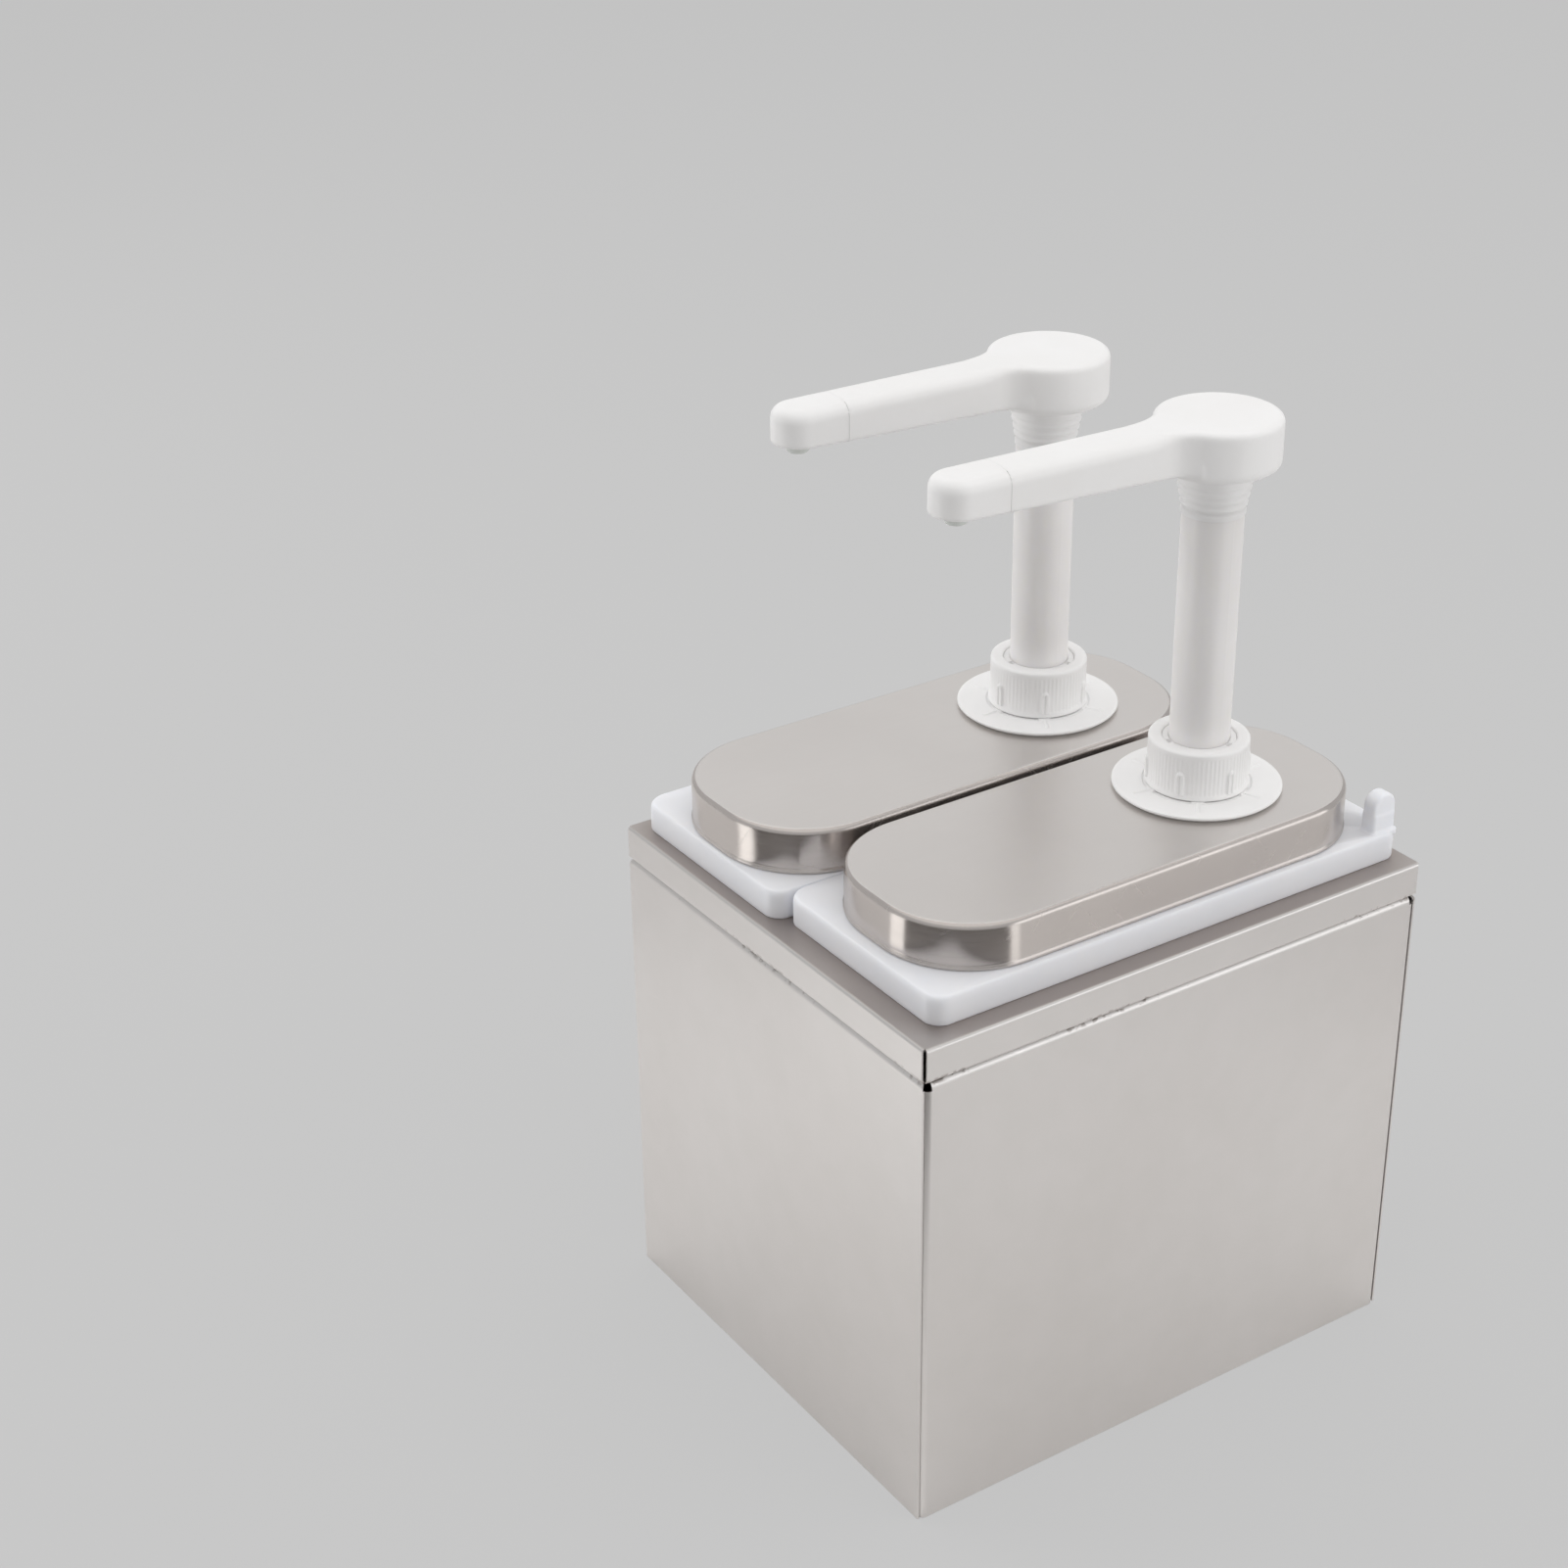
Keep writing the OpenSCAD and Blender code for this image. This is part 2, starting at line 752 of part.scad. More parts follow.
module screw_cap(side) {
    band_z = cap_top_z - cap_band_h;
    edge = (cap_r - cap_bore_r) / 3;
    band_r = cap_skirt_r + edge / 4;
    color(WHITE)
        at_pump(side)
            rotate([0, 0, cap_turns[side]]) {
                difference() {
                    union() {
                        translate([0, 0, cap_z])
                            linear_extrude(cap_h - cap_band_h + edge)
                                fluted_plan();
                        rotate_extrude()
                            polygon([
                                [0, band_z],
                                [band_r, band_z],
                                [band_r, cap_top_z - edge],
                                [band_r - edge, cap_top_z],
                                [0, cap_top_z]
                            ]);
                        rotate_extrude()
                            polygon([
                                [0, cap_z],
                                [cap_r - edge / 8, cap_z],
                                [cap_r - edge / 8, cap_z + edge],
                                [cap_skirt_r - edge, cap_z + 3 * edge],
                                [0, cap_z + 3 * edge]
                            ]);
                    }
                    ring(cap_bore_r, 0, cap_z - cut, cap_top_z - cap_top_t);
                    ring(bush_collar_r + free_gap, 0, cap_z, cap_top_z + cut);
                }
                grip_ribs();
            }
}

module guide_bush(side) {
    rim_low_z = neck_z + chamber_rim_t;
    notch_w = stem_r / 4;
    color(WHITE)
        at_pump(side)
            difference() {
                union() {
                    ring(neck_r, 0, rim_low_z, rim_low_z + bush_rim_t);
                    ring(bush_collar_r, 0, rim_low_z, cap_top_z - cap_top_t / 3);
                    ring(bore_r - slip, 0, neck_z - guide_l, rim_low_z);
                }
                ring(bush_bore_r, 0, neck_z - guide_l - cut, cap_top_z + cut);
                for (turn = [0 : 120 : 240])
                    rotate([0, 0, bush_turns[side] + turn])
                        translate([0, -notch_w / 2, cap_top_z - cap_top_t])
                            cube([bush_collar_r - stem_r / 20, notch_w, cap_top_t]);
            }
}

module chamber(side) {
    socket_r = dip_r + socket_wall;
    color(NATURAL)
        at_pump(side)
            difference() {
                union() {
                    ring(neck_r, 0, neck_z, neck_z + chamber_rim_t);
                    ring(chamber_r, 0, socket_z, neck_z);
                    ring(socket_r, 0, chamber_foot_z, socket_z);
                }
                ring(bore_r, 0, floor_z, neck_z + chamber_rim_t + cut);
                ring(inlet_hole_r, 0, chamber_foot_z, floor_z);
                translate([0, 0, floor_z - floor_seat_t])
                    cylinder(
                        r1 = inlet_hole_r,
                        r2 = inlet_hole_r + floor_seat_t,
                        h = floor_seat_t
                    );
                ring(dip_r + slip, 0, chamber_foot_z - cut, socket_z);
            }
}

module spring_seat(side) {
    ring_r = inlet_cage_r + seat_ring_t;
    color(WHITE)
        at_pump(side)
            difference() {
                union() {
                    ring(bore_r - slip, 0, spring_seat_z - seat_plate_t, spring_seat_z);
                    ring(ring_r, 0, floor_z, spring_seat_z - seat_plate_t / 2);
                }
                ring(inlet_cage_r, 0, floor_z - cut, spring_seat_z - seat_plate_t);
                for (turn = [0 : 90 : 270])
                    rotate([0, 0, turn])
                        translate([inlet_cage_r - 1.4 * seat_hole_r, 0, floor_z])
                            cylinder(r = seat_hole_r, h = seat_h + cut);
            }
}

module inlet_ball(side) {
    color(STEEL)
        at_pump(side)
            translate([0, 0, inlet_ball_z])
                sphere(inlet_ball_r);
}

module dip_tube(side) {
    dip_cut_l = 2 * dip_r;
    color(NATURAL)
        at_pump(side)
            difference() {
                ring(dip_r, dip_r - dip_wall, dip_end_z, socket_z - slip);
                translate([-dip_r, 0, dip_end_z])
                    rotate([0, -45, 0])
                        translate([-dip_cut_l, -dip_cut_l, -2 * dip_cut_l])
                            cube([3 * dip_cut_l, 2 * dip_cut_l, 2 * dip_cut_l]);
            }
}

// Rings of the spring's tube: 8 in each turn, 6 points in each ring
SPRING_RINGS = 8;
SPRING_SIDES = 6;
spring_clear = 0.02 * wire_r;
spring_low_z = spring_seat_z + wire_r + spring_clear;
spring_rise = (spring_l - 2 * (wire_r + spring_clear)) / spring_turns;
spring_steps = SPRING_RINGS * spring_turns;

function spring_point(i) = [
    spring_r * cos(360 * i / SPRING_RINGS),
    spring_r * sin(360 * i / SPRING_RINGS),
    spring_low_z + spring_rise * i / SPRING_RINGS
];
// The straight ends leave the coil level, one wire across
function spring_end(i, way) = spring_point(i) + way * 2 * wire_r * [
    -sin(360 * i / SPRING_RINGS),
    cos(360 * i / SPRING_RINGS),
    0
];
spring_path = concat(
    [spring_end(0, -1)],
    [for (i = [0 : spring_steps]) spring_point(i)],
    [spring_end(spring_steps, 1)]
);
function spring_angle(k) = 360 * min(max(k - 1, 0), spring_steps) / SPRING_RINGS;
function spring_ring(k) = [
    for (j = [0 : SPRING_SIDES - 1])
        let (
            a = spring_angle(k),
            across = wire_r * cos(360 * j / SPRING_SIDES),
            up = wire_r * sin(360 * j / SPRING_SIDES)
        )
            spring_path[k] + across * [cos(a), sin(a), 0] + up * [0, 0, 1]
];
spring_last = len(spring_path) - 1;
spring_points = [for (k = [0 : spring_last]) each spring_ring(k)];
spring_side_faces = [
    for (k = [0 : spring_last - 1], j = [0 : SPRING_SIDES - 1])
        let (
            a = k * SPRING_SIDES + j,
            b = k * SPRING_SIDES + (j + 1) % SPRING_SIDES,
            c = b + SPRING_SIDES,
            d = a + SPRING_SIDES
        )
            each [[a, b, c], [a, c, d]]
];
spring_end_faces = [
    for (j = [1 : SPRING_SIDES - 2])
        each [
            [0, j + 1, j],
            [
                spring_last * SPRING_SIDES,
                spring_last * SPRING_SIDES + j,
                spring_last * SPRING_SIDES + j + 1
            ]
        ]
];
spring_self_gap = min([
    for (i = [0 : spring_steps], j = [i + SPRING_RINGS / 2 : 1 : spring_steps])
        norm(spring_point(i) - spring_point(j))
]) - 2 * wire_r;
echo(spring_gap_mm = spring_self_gap);

module spring(side) {
    color(STEEL)
        at_pump(side)
            polyhedron(points = spring_points, faces = concat(spring_side_faces, spring_end_faces));
}

module piston(side) {
    color(WHITE)
        at_pump(side)
            difference() {
                union() {
                    ring(bore_r - free_gap, 0, piston_foot_z, piston_z);
                    ring(hub_r, 0, piston_z, ball_stop_z);
                    rotate_extrude()
                        polygon([
                            [0, snap_z - snap_h / 2],
                            [hub_r, snap_z - snap_h / 2],
                            [hub_r + snap_d, snap_z - snap_h / 4],
                            [hub_r + snap_d, snap_z],
                            [hub_r, snap_z + snap_h / 2],
                            [0, snap_z + snap_h / 2]
                        ]);
                }
                ring(bore_r, seal_groove_r, seal_z, seal_z + seal_h);
                ring(outlet_hole_r, 0, piston_foot_z - cut, piston_z);
                translate([0, 0, piston_z])
                    cylinder(
                        r1 = outlet_hole_r,
                        r2 = outlet_cage_r,
                        h = outlet_cage_r - outlet_hole_r
                    );
                ring(
                    outlet_cage_r,
                    0,
                    piston_z + outlet_cage_r - outlet_hole_r,
                    ball_stop_z + cut
                );
            }
}

module piston_seal(side) {
    lip = seal_h / 4;
    gap = 2 * slip;
    seal_r = bore_r - slip;
    color(GREY)
        at_pump(side)
            rotate_extrude()
                polygon([
                    [seal_groove_r + gap, seal_z + gap],
                    [bore_r - free_gap - lip / 4, seal_z + gap],
                    [seal_r, seal_z + lip],
                    [seal_r, seal_z + seal_h - lip],
                    [bore_r - free_gap - lip / 4, seal_z + seal_h - gap],
                    [seal_groove_r + gap, seal_z + seal_h - gap]
                ]);
}

module outlet_ball(side) {
    color(STEEL)
        at_pump(side)
            translate([0, 0, outlet_ball_z])
                sphere(outlet_ball_r);
}

module ball_stop(side) {
    holes = 4;
    hole_r = outlet_cage_r / 4;
    color(WHITE)
        at_pump(side)
            difference() {
                ring(hub_r - slip, 0, ball_stop_z, ball_stop_z + ball_stop_t);
                for (turn = [0 : 360 / holes : 359])
                    rotate([0, 0, turn])
                        translate([outlet_cage_r - 1.3 * hole_r, 0, ball_stop_z - cut])
                            cylinder(r = hole_r, h = ball_stop_t + 2 * cut);
            }
}

module stem(side) {
    groove_r = hub_r + snap_d + 2 * slip;
    color(NATURAL)
        at_pump(side)
            difference() {
                ring(stem_r, hub_r + slip, piston_z + slip, stem_top_z);
                rotate_extrude()
                    polygon([
                        [hub_r, snap_z - snap_h / 2 - slip],
                        [groove_r, snap_z - snap_h / 4 - slip],
                        [groove_r, snap_z + 2 * slip],
                        [hub_r, snap_z + snap_h / 2 + 2 * slip]
                    ]);
            }
}

// The sleeve under the head: a stepped cone with four ring grooves
module neck_sleeve(side) {
    step = sleeve_h / 6;
    groove = step / 4;
    cone = (sleeve_r - stem_r) / 5;
    function level(i) = head_z - sleeve_h / 3 - i * step;
    color(WHITE)
        at_pump(side)
            rotate_extrude()
                polygon(concat(
                    [[stem_r + slip, sleeve_z], [stem_r + slip, head_z - slip], [sleeve_r, head_z - slip]],
                    [
                        for (i = [0 : 3])
                            let (r = sleeve_r - (i + 0.5) * cone)
                                each [
                                    [r, level(i) + groove],
                                    [r - groove, level(i)],
                                    [r - groove, level(i) - groove],
                                    [r - groove / 2, level(i) - 2 * groove]
                                ]
                    ],
                    [[stem_r + groove / 2, sleeve_z]]
                ));
}

// The arm's section across its length, width on x and height on y, top at head_top_z
module arm_half_section() {
    translate([0, arm_foot_z - arm_root_h])
        edge_section(arm_w / 2, arm_tip_h + arm_root_h, arm_edge_r);
}

// Space under the arm, whose underside rises from the head to the nozzle
module under_arm(from, to) {
    depth = 2 * arm_root_h;
    translate([0, -reach, arm_foot_z])
        rotate([arm_slope, 0, 0])
            translate([-head_r, reach - to, -depth])
                cube([2 * head_r, to - from, depth]);
}

module arm_run(from, to) {
    translate([0, -from, 0])
        rotate([90, 0, 0])
            linear_extrude(to - from)
                for (way = [0, 1])
                    mirror([way, 0])
                        arm_half_section();
}

// The two hollow fillets in plan between the round head and the arm
module arm_fillets() {
    centre_x = arm_w / 2 + arm_fillet_r;
    centre_y = sqrt((head_r + arm_fillet_r) * (head_r + arm_fillet_r) - centre_x * centre_x);
    share = head_r / (head_r + arm_fillet_r);
    for (way = [0, 1])
        mirror([way, 0])
            difference() {
                polygon([
                    [0, 0],
                    [share * centre_x, -share * centre_y],
                    [arm_w / 2, -centre_y],
                    [0, -centre_y]
                ]);
                translate([centre_x, -centre_y])
                    circle(arm_fillet_r);
            }
}

// The round head in section: half its width, with both edges round
module head_section() {
    translate([0, head_foot_r])
        edge_section(head_r, head_h - head_foot_r, head_top_r);
    square([head_r - head_foot_r, head_foot_r]);
    translate([head_r - head_foot_r, head_foot_r])
        mirror([0, 1])
            intersection() {
                circle(head_foot_r);
                square([head_foot_r, head_foot_r]);
            }
}

module spout_head(side) {
    fillet_h = arm_root_h - head_top_r / 2;
    color(WHITE)
        at_spout(side)
            difference() {
                union() {
                    translate([0, 0, head_z])
                        rotate_extrude()
                            head_section();
                    difference() {
                        arm_run(0, arm_end);
                        under_arm(-head_r, reach + head_r);
                    }
                    difference() {
                        translate([0, 0, head_top_z - arm_root_h])
                            linear_extrude(fillet_h)
                                arm_fillets();
                        under_arm(-head_r, reach + head_r);
                    }
                }
                ring(stem_r + slip, 0, head_z - cut, stem_top_z + slip);
                ring(stem_r - stem_wall, 0, head_z, channel_z);
                translate([0, 0, channel_z])
                    rotate([90, 0, 0])
                        cylinder(r = channel_r, h = arm_end + cut);
            }
}

module end_cap(side) {
    tube_r = channel_r - slip;
    tube_bore_r = 0.75 * channel_r;
    color(WHITE)
        at_spout(side)
            difference() {
                union() {
                    difference() {
                        union() {
                            arm_run(arm_end + slip, reach);
                            translate([0, -reach, 0])
                                rotate([0, 0, 180])
                                    rotate_extrude(angle = 180)
                                        arm_half_section();
                        }
                        under_arm(-head_r, reach + head_r);
                    }
                    translate([0, plug_l - arm_end, channel_z])
                        rotate([90, 0, 0])
                            cylinder(r = tube_r, h = plug_l + cut);
                }
                translate([0, plug_l - arm_end + cut, channel_z])
                    rotate([90, 0, 0])
                        cylinder(r = tube_bore_r, h = reach - arm_end + plug_l + cut);
                translate([0, -reach, arm_foot_z - cut])
                    cylinder(r = nozzle_plug_r + slip, h = channel_z - arm_foot_z + cut);
            }
}

module nozzle(side) {
    face_z = arm_foot_z - (nozzle_r + slip) * tan(arm_slope);
    color(NATURAL)
        at_spout(side)
            translate([0, -reach, 0])
                difference() {
                    union() {
                        translate([0, 0, face_z - nozzle_h])
                            cylinder(r1 = nozzle_mouth_r, r2 = nozzle_r, h = nozzle_h);
                        ring(nozzle_plug_r, 0, face_z, arm_foot_z + nozzle_plug_h);
                    }
                    ring(nozzle_bore_r, 0, face_z - nozzle_h - cut, arm_foot_z + nozzle_plug_h + cut);
                }
}

base_tray();
front_panel();
rear_panel();
left_side_panel();
right_side_panel();
top_frame();
jar(RIGHT);  // right_jar
lid(RIGHT);  // right_lid
pump_foot(RIGHT);  // right_pump_foot
sealing_ring(RIGHT);  // right_sealing_ring
back_nut(RIGHT);  // right_back_nut
screw_cap(RIGHT);  // right_screw_cap
guide_bush(RIGHT);  // right_guide_bush
chamber(RIGHT);  // right_chamber
spring(RIGHT);  // right_spring
spring_seat(RIGHT);  // right_spring_seat
inlet_ball(RIGHT);  // right_inlet_ball
dip_tube(RIGHT);  // right_dip_tube
piston(RIGHT);  // right_piston
piston_seal(RIGHT);  // right_piston_seal
outlet_ball(RIGHT);  // right_outlet_ball
ball_stop(RIGHT);  // right_ball_stop
stem(RIGHT);  // right_stem
neck_sleeve(RIGHT);  // right_neck_sleeve
spout_head(RIGHT);  // right_spout_head
end_cap(RIGHT);  // right_end_cap
nozzle(RIGHT);  // right_nozzle
jar(LEFT);  // left_jar
lid(LEFT);  // left_lid
pump_foot(LEFT);  // left_pump_foot
sealing_ring(LEFT);  // left_sealing_ring
back_nut(LEFT);  // left_back_nut
screw_cap(LEFT);  // left_screw_cap
guide_bush(LEFT);  // left_guide_bush
chamber(LEFT);  // left_chamber
spring(LEFT);  // left_spring
spring_seat(LEFT);  // left_spring_seat
inlet_ball(LEFT);  // left_inlet_ball
dip_tube(LEFT);  // left_dip_tube
piston(LEFT);  // left_piston
piston_seal(LEFT);  // left_piston_seal
outlet_ball(LEFT);  // left_outlet_ball
ball_stop(LEFT);  // left_ball_stop
stem(LEFT);  // left_stem
neck_sleeve(LEFT);  // left_neck_sleeve
spout_head(LEFT);  // left_spout_head
end_cap(LEFT);  // left_end_cap
nozzle(LEFT);  // left_nozzle
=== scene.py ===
import math
import bpy
import numpy as np
from mathutils import Matrix, Vector, noise


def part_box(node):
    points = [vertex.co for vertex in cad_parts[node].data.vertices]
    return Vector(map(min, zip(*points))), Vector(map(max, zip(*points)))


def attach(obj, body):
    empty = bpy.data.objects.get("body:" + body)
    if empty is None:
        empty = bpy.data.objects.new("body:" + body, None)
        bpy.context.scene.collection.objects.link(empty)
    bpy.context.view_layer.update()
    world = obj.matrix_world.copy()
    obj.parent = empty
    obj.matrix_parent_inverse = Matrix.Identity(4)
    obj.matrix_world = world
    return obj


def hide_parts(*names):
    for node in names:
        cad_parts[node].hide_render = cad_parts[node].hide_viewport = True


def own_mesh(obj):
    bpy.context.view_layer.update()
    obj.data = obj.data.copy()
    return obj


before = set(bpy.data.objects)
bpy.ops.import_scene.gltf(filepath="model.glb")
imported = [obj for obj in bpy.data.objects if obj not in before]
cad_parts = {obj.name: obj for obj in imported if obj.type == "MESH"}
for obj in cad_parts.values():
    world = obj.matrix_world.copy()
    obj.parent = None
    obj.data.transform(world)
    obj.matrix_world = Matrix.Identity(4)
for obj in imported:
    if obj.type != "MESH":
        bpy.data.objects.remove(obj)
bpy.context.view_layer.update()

# Sizes are in millimetres and become metres when a mesh is made.
MM = 0.001
SIDES = ("right", "left")

# Colours as the eye sees them under plain light, in linear values
STEEL_LIGHT = (0.71, 0.69, 0.68, 1)
STEEL_DARK = (0.69, 0.668, 0.655, 1)
LID_LIGHT = (0.76, 0.73, 0.71, 1)
LID_DARK = (0.735, 0.705, 0.685, 1)
# The lid's side is the same sheet as its top; its darker colours are painted shade
LID_SIDE_PAINTED_SHADE_LIGHT = (0.60, 0.56, 0.535, 1)
LID_SIDE_PAINTED_SHADE_DARK = (0.56, 0.52, 0.50, 1)
# Painted shade for up-facing steel, darkest beside what stands on it
STEEL_SHADED = (0.43, 0.385, 0.365, 1)
SPECK_BROWN = (0.16, 0.12, 0.10, 1)
JAR_BLUE = (0.90, 0.92, 0.985, 1)
JAR_MILK = (0.93, 0.945, 1.0, 1)
PLASTIC_WHITE = (0.94, 0.935, 0.935, 1)
PLASTIC_SHADE = (0.92, 0.913, 0.908, 1)
STEM_WHITE = (0.89, 0.873, 0.86, 1)
STEM_SHADE = (0.87, 0.85, 0.833, 1)
NOZZLE_GREY = (0.70, 0.73, 0.70, 1)
RUBBER_GREY = (0.42, 0.42, 0.42, 1)
FLOOR_GREY = (0.584, 0.584, 0.584, 1)
CARD_BLACK = (0.10, 0.09, 0.085, 1)
CARD_WHITE = (0.92, 0.91, 0.90, 1)
CARD_PALE = (0.74, 0.73, 0.725, 1)
SHEEN = (1.05, 1.04, 1.02, 1)
SKY_LIGHT = (1.0, 0.99, 0.98, 1)
FINE_LIGHT = (1, 1, 1, 1)
FINE_DARK = (0.985, 0.988, 0.985, 1)
BLACK = (0, 0, 0, 1)

# Camera: turned round the object, above it and about its own line of sight
CAMERA_PLACE = (0.75173, -0.59759, 0.73069)
CAMERA_TURN = math.radians(56.92)
CAMERA_RISE = math.radians(27.33)
CAMERA_ROLL = math.radians(-0.83)
CAMERA_LENS = 64.287
CAMERA_SENSOR = 36.0
CAMERA_CLIP = (0.05, 50)

# Cabinet
SKIRT_LOW = 195.0
CABINET_TOP = 209.0

# Jar. FLOOR and HOLLOW are the flat rings that close its floor, outside and inside.
JAR_W, JAR_L, JAR_CORNER = 76.0, 196.0, 34.0
JAR_WALL, JAR_FOOT = 2.5, 8.0
JAR_LOW, JAR_COLLAR_TOP = 24.0, 228.8
JAR_FLOOR_IN, JAR_FLOOR_CORNER = 40, 14
JAR_HOLLOW_IN, JAR_HOLLOW_CORNER = 44, 12
RIM_W, RIM_L, RIM_CORNER = 93.2, 221.0, 7.0
RIM_TOP, RIM_WALL, RIM_EDGE = 220.8, 3.0, 2.4
LUG_L, LUG_T, LUG_H, LUG_INSET = 11.0, 7.0, 16.0, 2.0
LUG_STEP_Z, LUG_STEP_H, LUG_STEP_IN = 7.0, 1.2, 0.35
LUG_EDGE, LUG_ROOT, LUG_DEEP = 1.1, 1.2, 2.0
LUG_SPACE = ((-7, -9, -3), (7, 9, LUG_H + 2))

# Lid
LID_W, LID_L, LID_CORNER = 86.4, 208.5, 37.0
LID_SHEET, LID_EDGE, LID_TOP = 0.8, 2.4, 239.4
LID_HEM_H, LID_HEM_OUT, LID_HEM_EDGE, LID_HEM_IN = 2.0, 0.35, 0.5, 0.1
LID_SIDE_LEVELS = (232.0, 228.0, RIM_TOP + LID_HEM_H + 0.6)
LID_CORNER_STEPS, LID_SIDE_STEPS, LID_EDGE_STEPS = 20, 16, 8
LID_FACE_RINGS, LID_FACE_CROWDING, LID_FACE_INSET = 12, 1.6, LID_EDGE + 0.6
PUMP_BACK, HOLE_R = 48.1, 20.2
WAVE_W, WAVE_L, WAVE_DEPTH, WAVE_FADE = 45, 60, 0.10, 20
WAVE_SEEDS = {"right": 3.7, "left": 9.1}

# Pump mounting
DISC_R, DISC_LOW, DISC_TOP, DISC_EDGE = 32.3, LID_TOP, 241.6, 1.1
DISC_UNDER_IN, DISC_RIM = 1.7, ((0, 0.8), (0.1, 0.2), (0.5, 0), (1.0, 0))
NECK_R, NECK_TOP = 17.0, 255.5
STUB_R, STUB_LOW, STUB_HIGH, STUB_THREAD_TOP = 18.2, 225.4, 238.4, 237.6
FOOT_BORE_R = 15.3
THREAD_PITCH, THREAD_DEPTH = 4.23, 0.8
THREAD_GAP, THREAD_FLANK, THREAD_FADE, THREAD_INSET = 0.35, 0.3, 1.5, 0.6
HAIR = 0.01
CAP_R, CAP_SKIRT_R, CAP_BORE_R = 20.0, 19.2, 17.3
CAP_LOW, CAP_TOP, CAP_BAND = 242.1, 261.0, 2.6
CAP_ROOF, CAP_RIBS, CAP_RIB_W = 2.4, 6, 3.6
CAP_RIB_TOP_SHARE, CAP_RIB_FRAME, CAP_RIB_HOLLOW, CAP_RIB_SUNK = 0.58, 1.2, 0.7, 0.05
CAP_FLUTES, CAP_FLUTE_DEPTH = 72, 0.13
CAP_FLARE_H, CAP_FLARE_LIP, CAP_FLARE_IN = 2.3, 0.7, 0.12
CAP_BUSH_GAP = 0.12
CAP_TURNS = {"right": math.radians(-1), "left": math.radians(-30)}
FOOT_TURNS = {"right": math.radians(20), "left": math.radians(30)}
FOOT_PARTS = 6
FOOT_RIB_H, FOOT_RIB_W, FOOT_RIB_END = 0.42, 1.3, DISC_R - 4.5
FOOT_GROOVE_R, FOOT_GROOVE_W, FOOT_GROOVE_DEPTH = CAP_R + 0.35, 0.9, 0.45
FOOT_BRIDGE_W = 4.4
BUSH_TURNS = {"right": math.radians(17), "left": math.radians(24)}
BUSH_COLLAR_R, BUSH_BORE_R, BUSH_TUBE_R = 14.0, 11.55, 12.95
BUSH_TUBE_L, BUSH_FLANGE_LOW, BUSH_FLANGE_TOP = 23, 1.5, 3.0
BUSH_NOTCHES, BUSH_NOTCH_W, BUSH_NOTCH_DEPTH = 3, 2.4, 1.5

# Spout
STEM_R = 11.5
SLEEVE_LOW, HEAD_LOW, HEAD_TOP = 351.0, 369.0, 388.5
SLEEVE_R, SLEEVE_RINGS = 14.1, 4
HEAD_R, HEAD_EDGE_TOP, HEAD_EDGE_LOW = 23.5, 2.6, 3.4
HEAD_SOCKET_H, HEAD_JOIN, HEAD_JOIN_DROP, HEAD_JOIN_H = 9, 1.6, 10, 4
REACH, ARM_W = 112.0, 19.8
ARM_ROOT_H, ARM_TIP_H, ARM_SHARES = 16.8, 14.4, (-0.2, 1.2)
ARM_EDGE_TOP, ARM_EDGE_LOW = 5.0, 1.2
ARM_EDGE_START, ARM_EDGE_L = 2, 16
ARM_FILLET_R = 14.0
SEAM, SEAM_GAP = 96.0, 0.12
FIT_GAP = 0.05
SPOUT_TURNS = {"right": math.radians(-3), "left": math.radians(-2)}
NOZZLE_R, NOZZLE_MOUTH_R, NOZZLE_BORE_R, NOZZLE_H = 5.6, 3.9, 2.5, 3.5
NOZZLE_NECK_R, NOZZLE_NECK_H, NOZZLE_DROP = 3.6, 3.2, 0.15
NOZZLE_HOLE_R, NOZZLE_HOLE_ROOF = 3.65, 8

# Spring
SPRING_LOW, SPRING_HIGH = 126.2, 218.2
SPRING_R, WIRE_R, SPRING_TURNS = 9.2, 0.8, 9
SPRING_END_GAP = 0.02

# Mesh work. Grid steps are for surfaces skinned from a distance field.
SIDE_SHARE = 0.49
LEAST_CORNER = 0.3
COARSE_GRID, FINE_GRID = 0.8, 0.5
SKIN_ROUNDS, SKIN_PROBE, LEAST_SLOPE = 5, 0.05, 0.05
GRID_MARGIN = 2

# Sheet grain: how often it repeats in a metre along x, y and z
UPRIGHT_GRAIN = (900, 900, 26)
LID_TOP_GRAIN = (900, 22, 60)
LID_SIDE_GRAIN = (60, 40, 900)
WIRE_GRAIN = (200, 200, 200)
SHEET_GRAIN_DEPTH, LID_GRAIN_DEPTH = 0.00003, 0.00001
# A quarter turn: lines brushed level smear what they mirror up and down
LEVEL_BRUSHING = 0.25

# Plastic skin
PEEL_SIZE, FLOW_SIZE, PATCH_SIZE = 900.0, 45.0, 30.0
SKIN_DEPTH, SKIN_STRENGTH = 0.00002, 0.4

# Stage, in metres, its brightness as a share of white and its cards' angles in degrees
FLOOR_R, FLOOR_STEPS, FLOOR_DROP, FLOOR_SEEN = 9.0, 64, 0.0002, 0.82
SKY_GLOW = 0.46
AIM = (0, 0, 0.2)
LOW_LEFT, LOW_RIGHT, LOW_BOX = (-1.35, -0.95, 0.52), (1.35, 0.95, 0.52), (1.4, 0.9)
ALL_ROUND = (-180, 180)
CARD_INNER, CARD_OUTER, CARD_STEPS, CARD_ROUGH = 0.38, 2.6, 48, 0.9


def middle_of(node):
    """The middle of a CAD node's box in plan, in millimetres."""
    low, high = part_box(node)
    return Vector(((low[0] + high[0]) / 2 / MM, (low[1] + high[1]) / 2 / MM, 0))


JAR_AT = {side: middle_of(f"{side}_jar") for side in SIDES}
LID_AT = {side: middle_of(f"{side}_lid") for side in SIDES}
PUMP_AT = {side: middle_of(f"{side}_screw_cap") for side in SIDES}


# Mesh tools

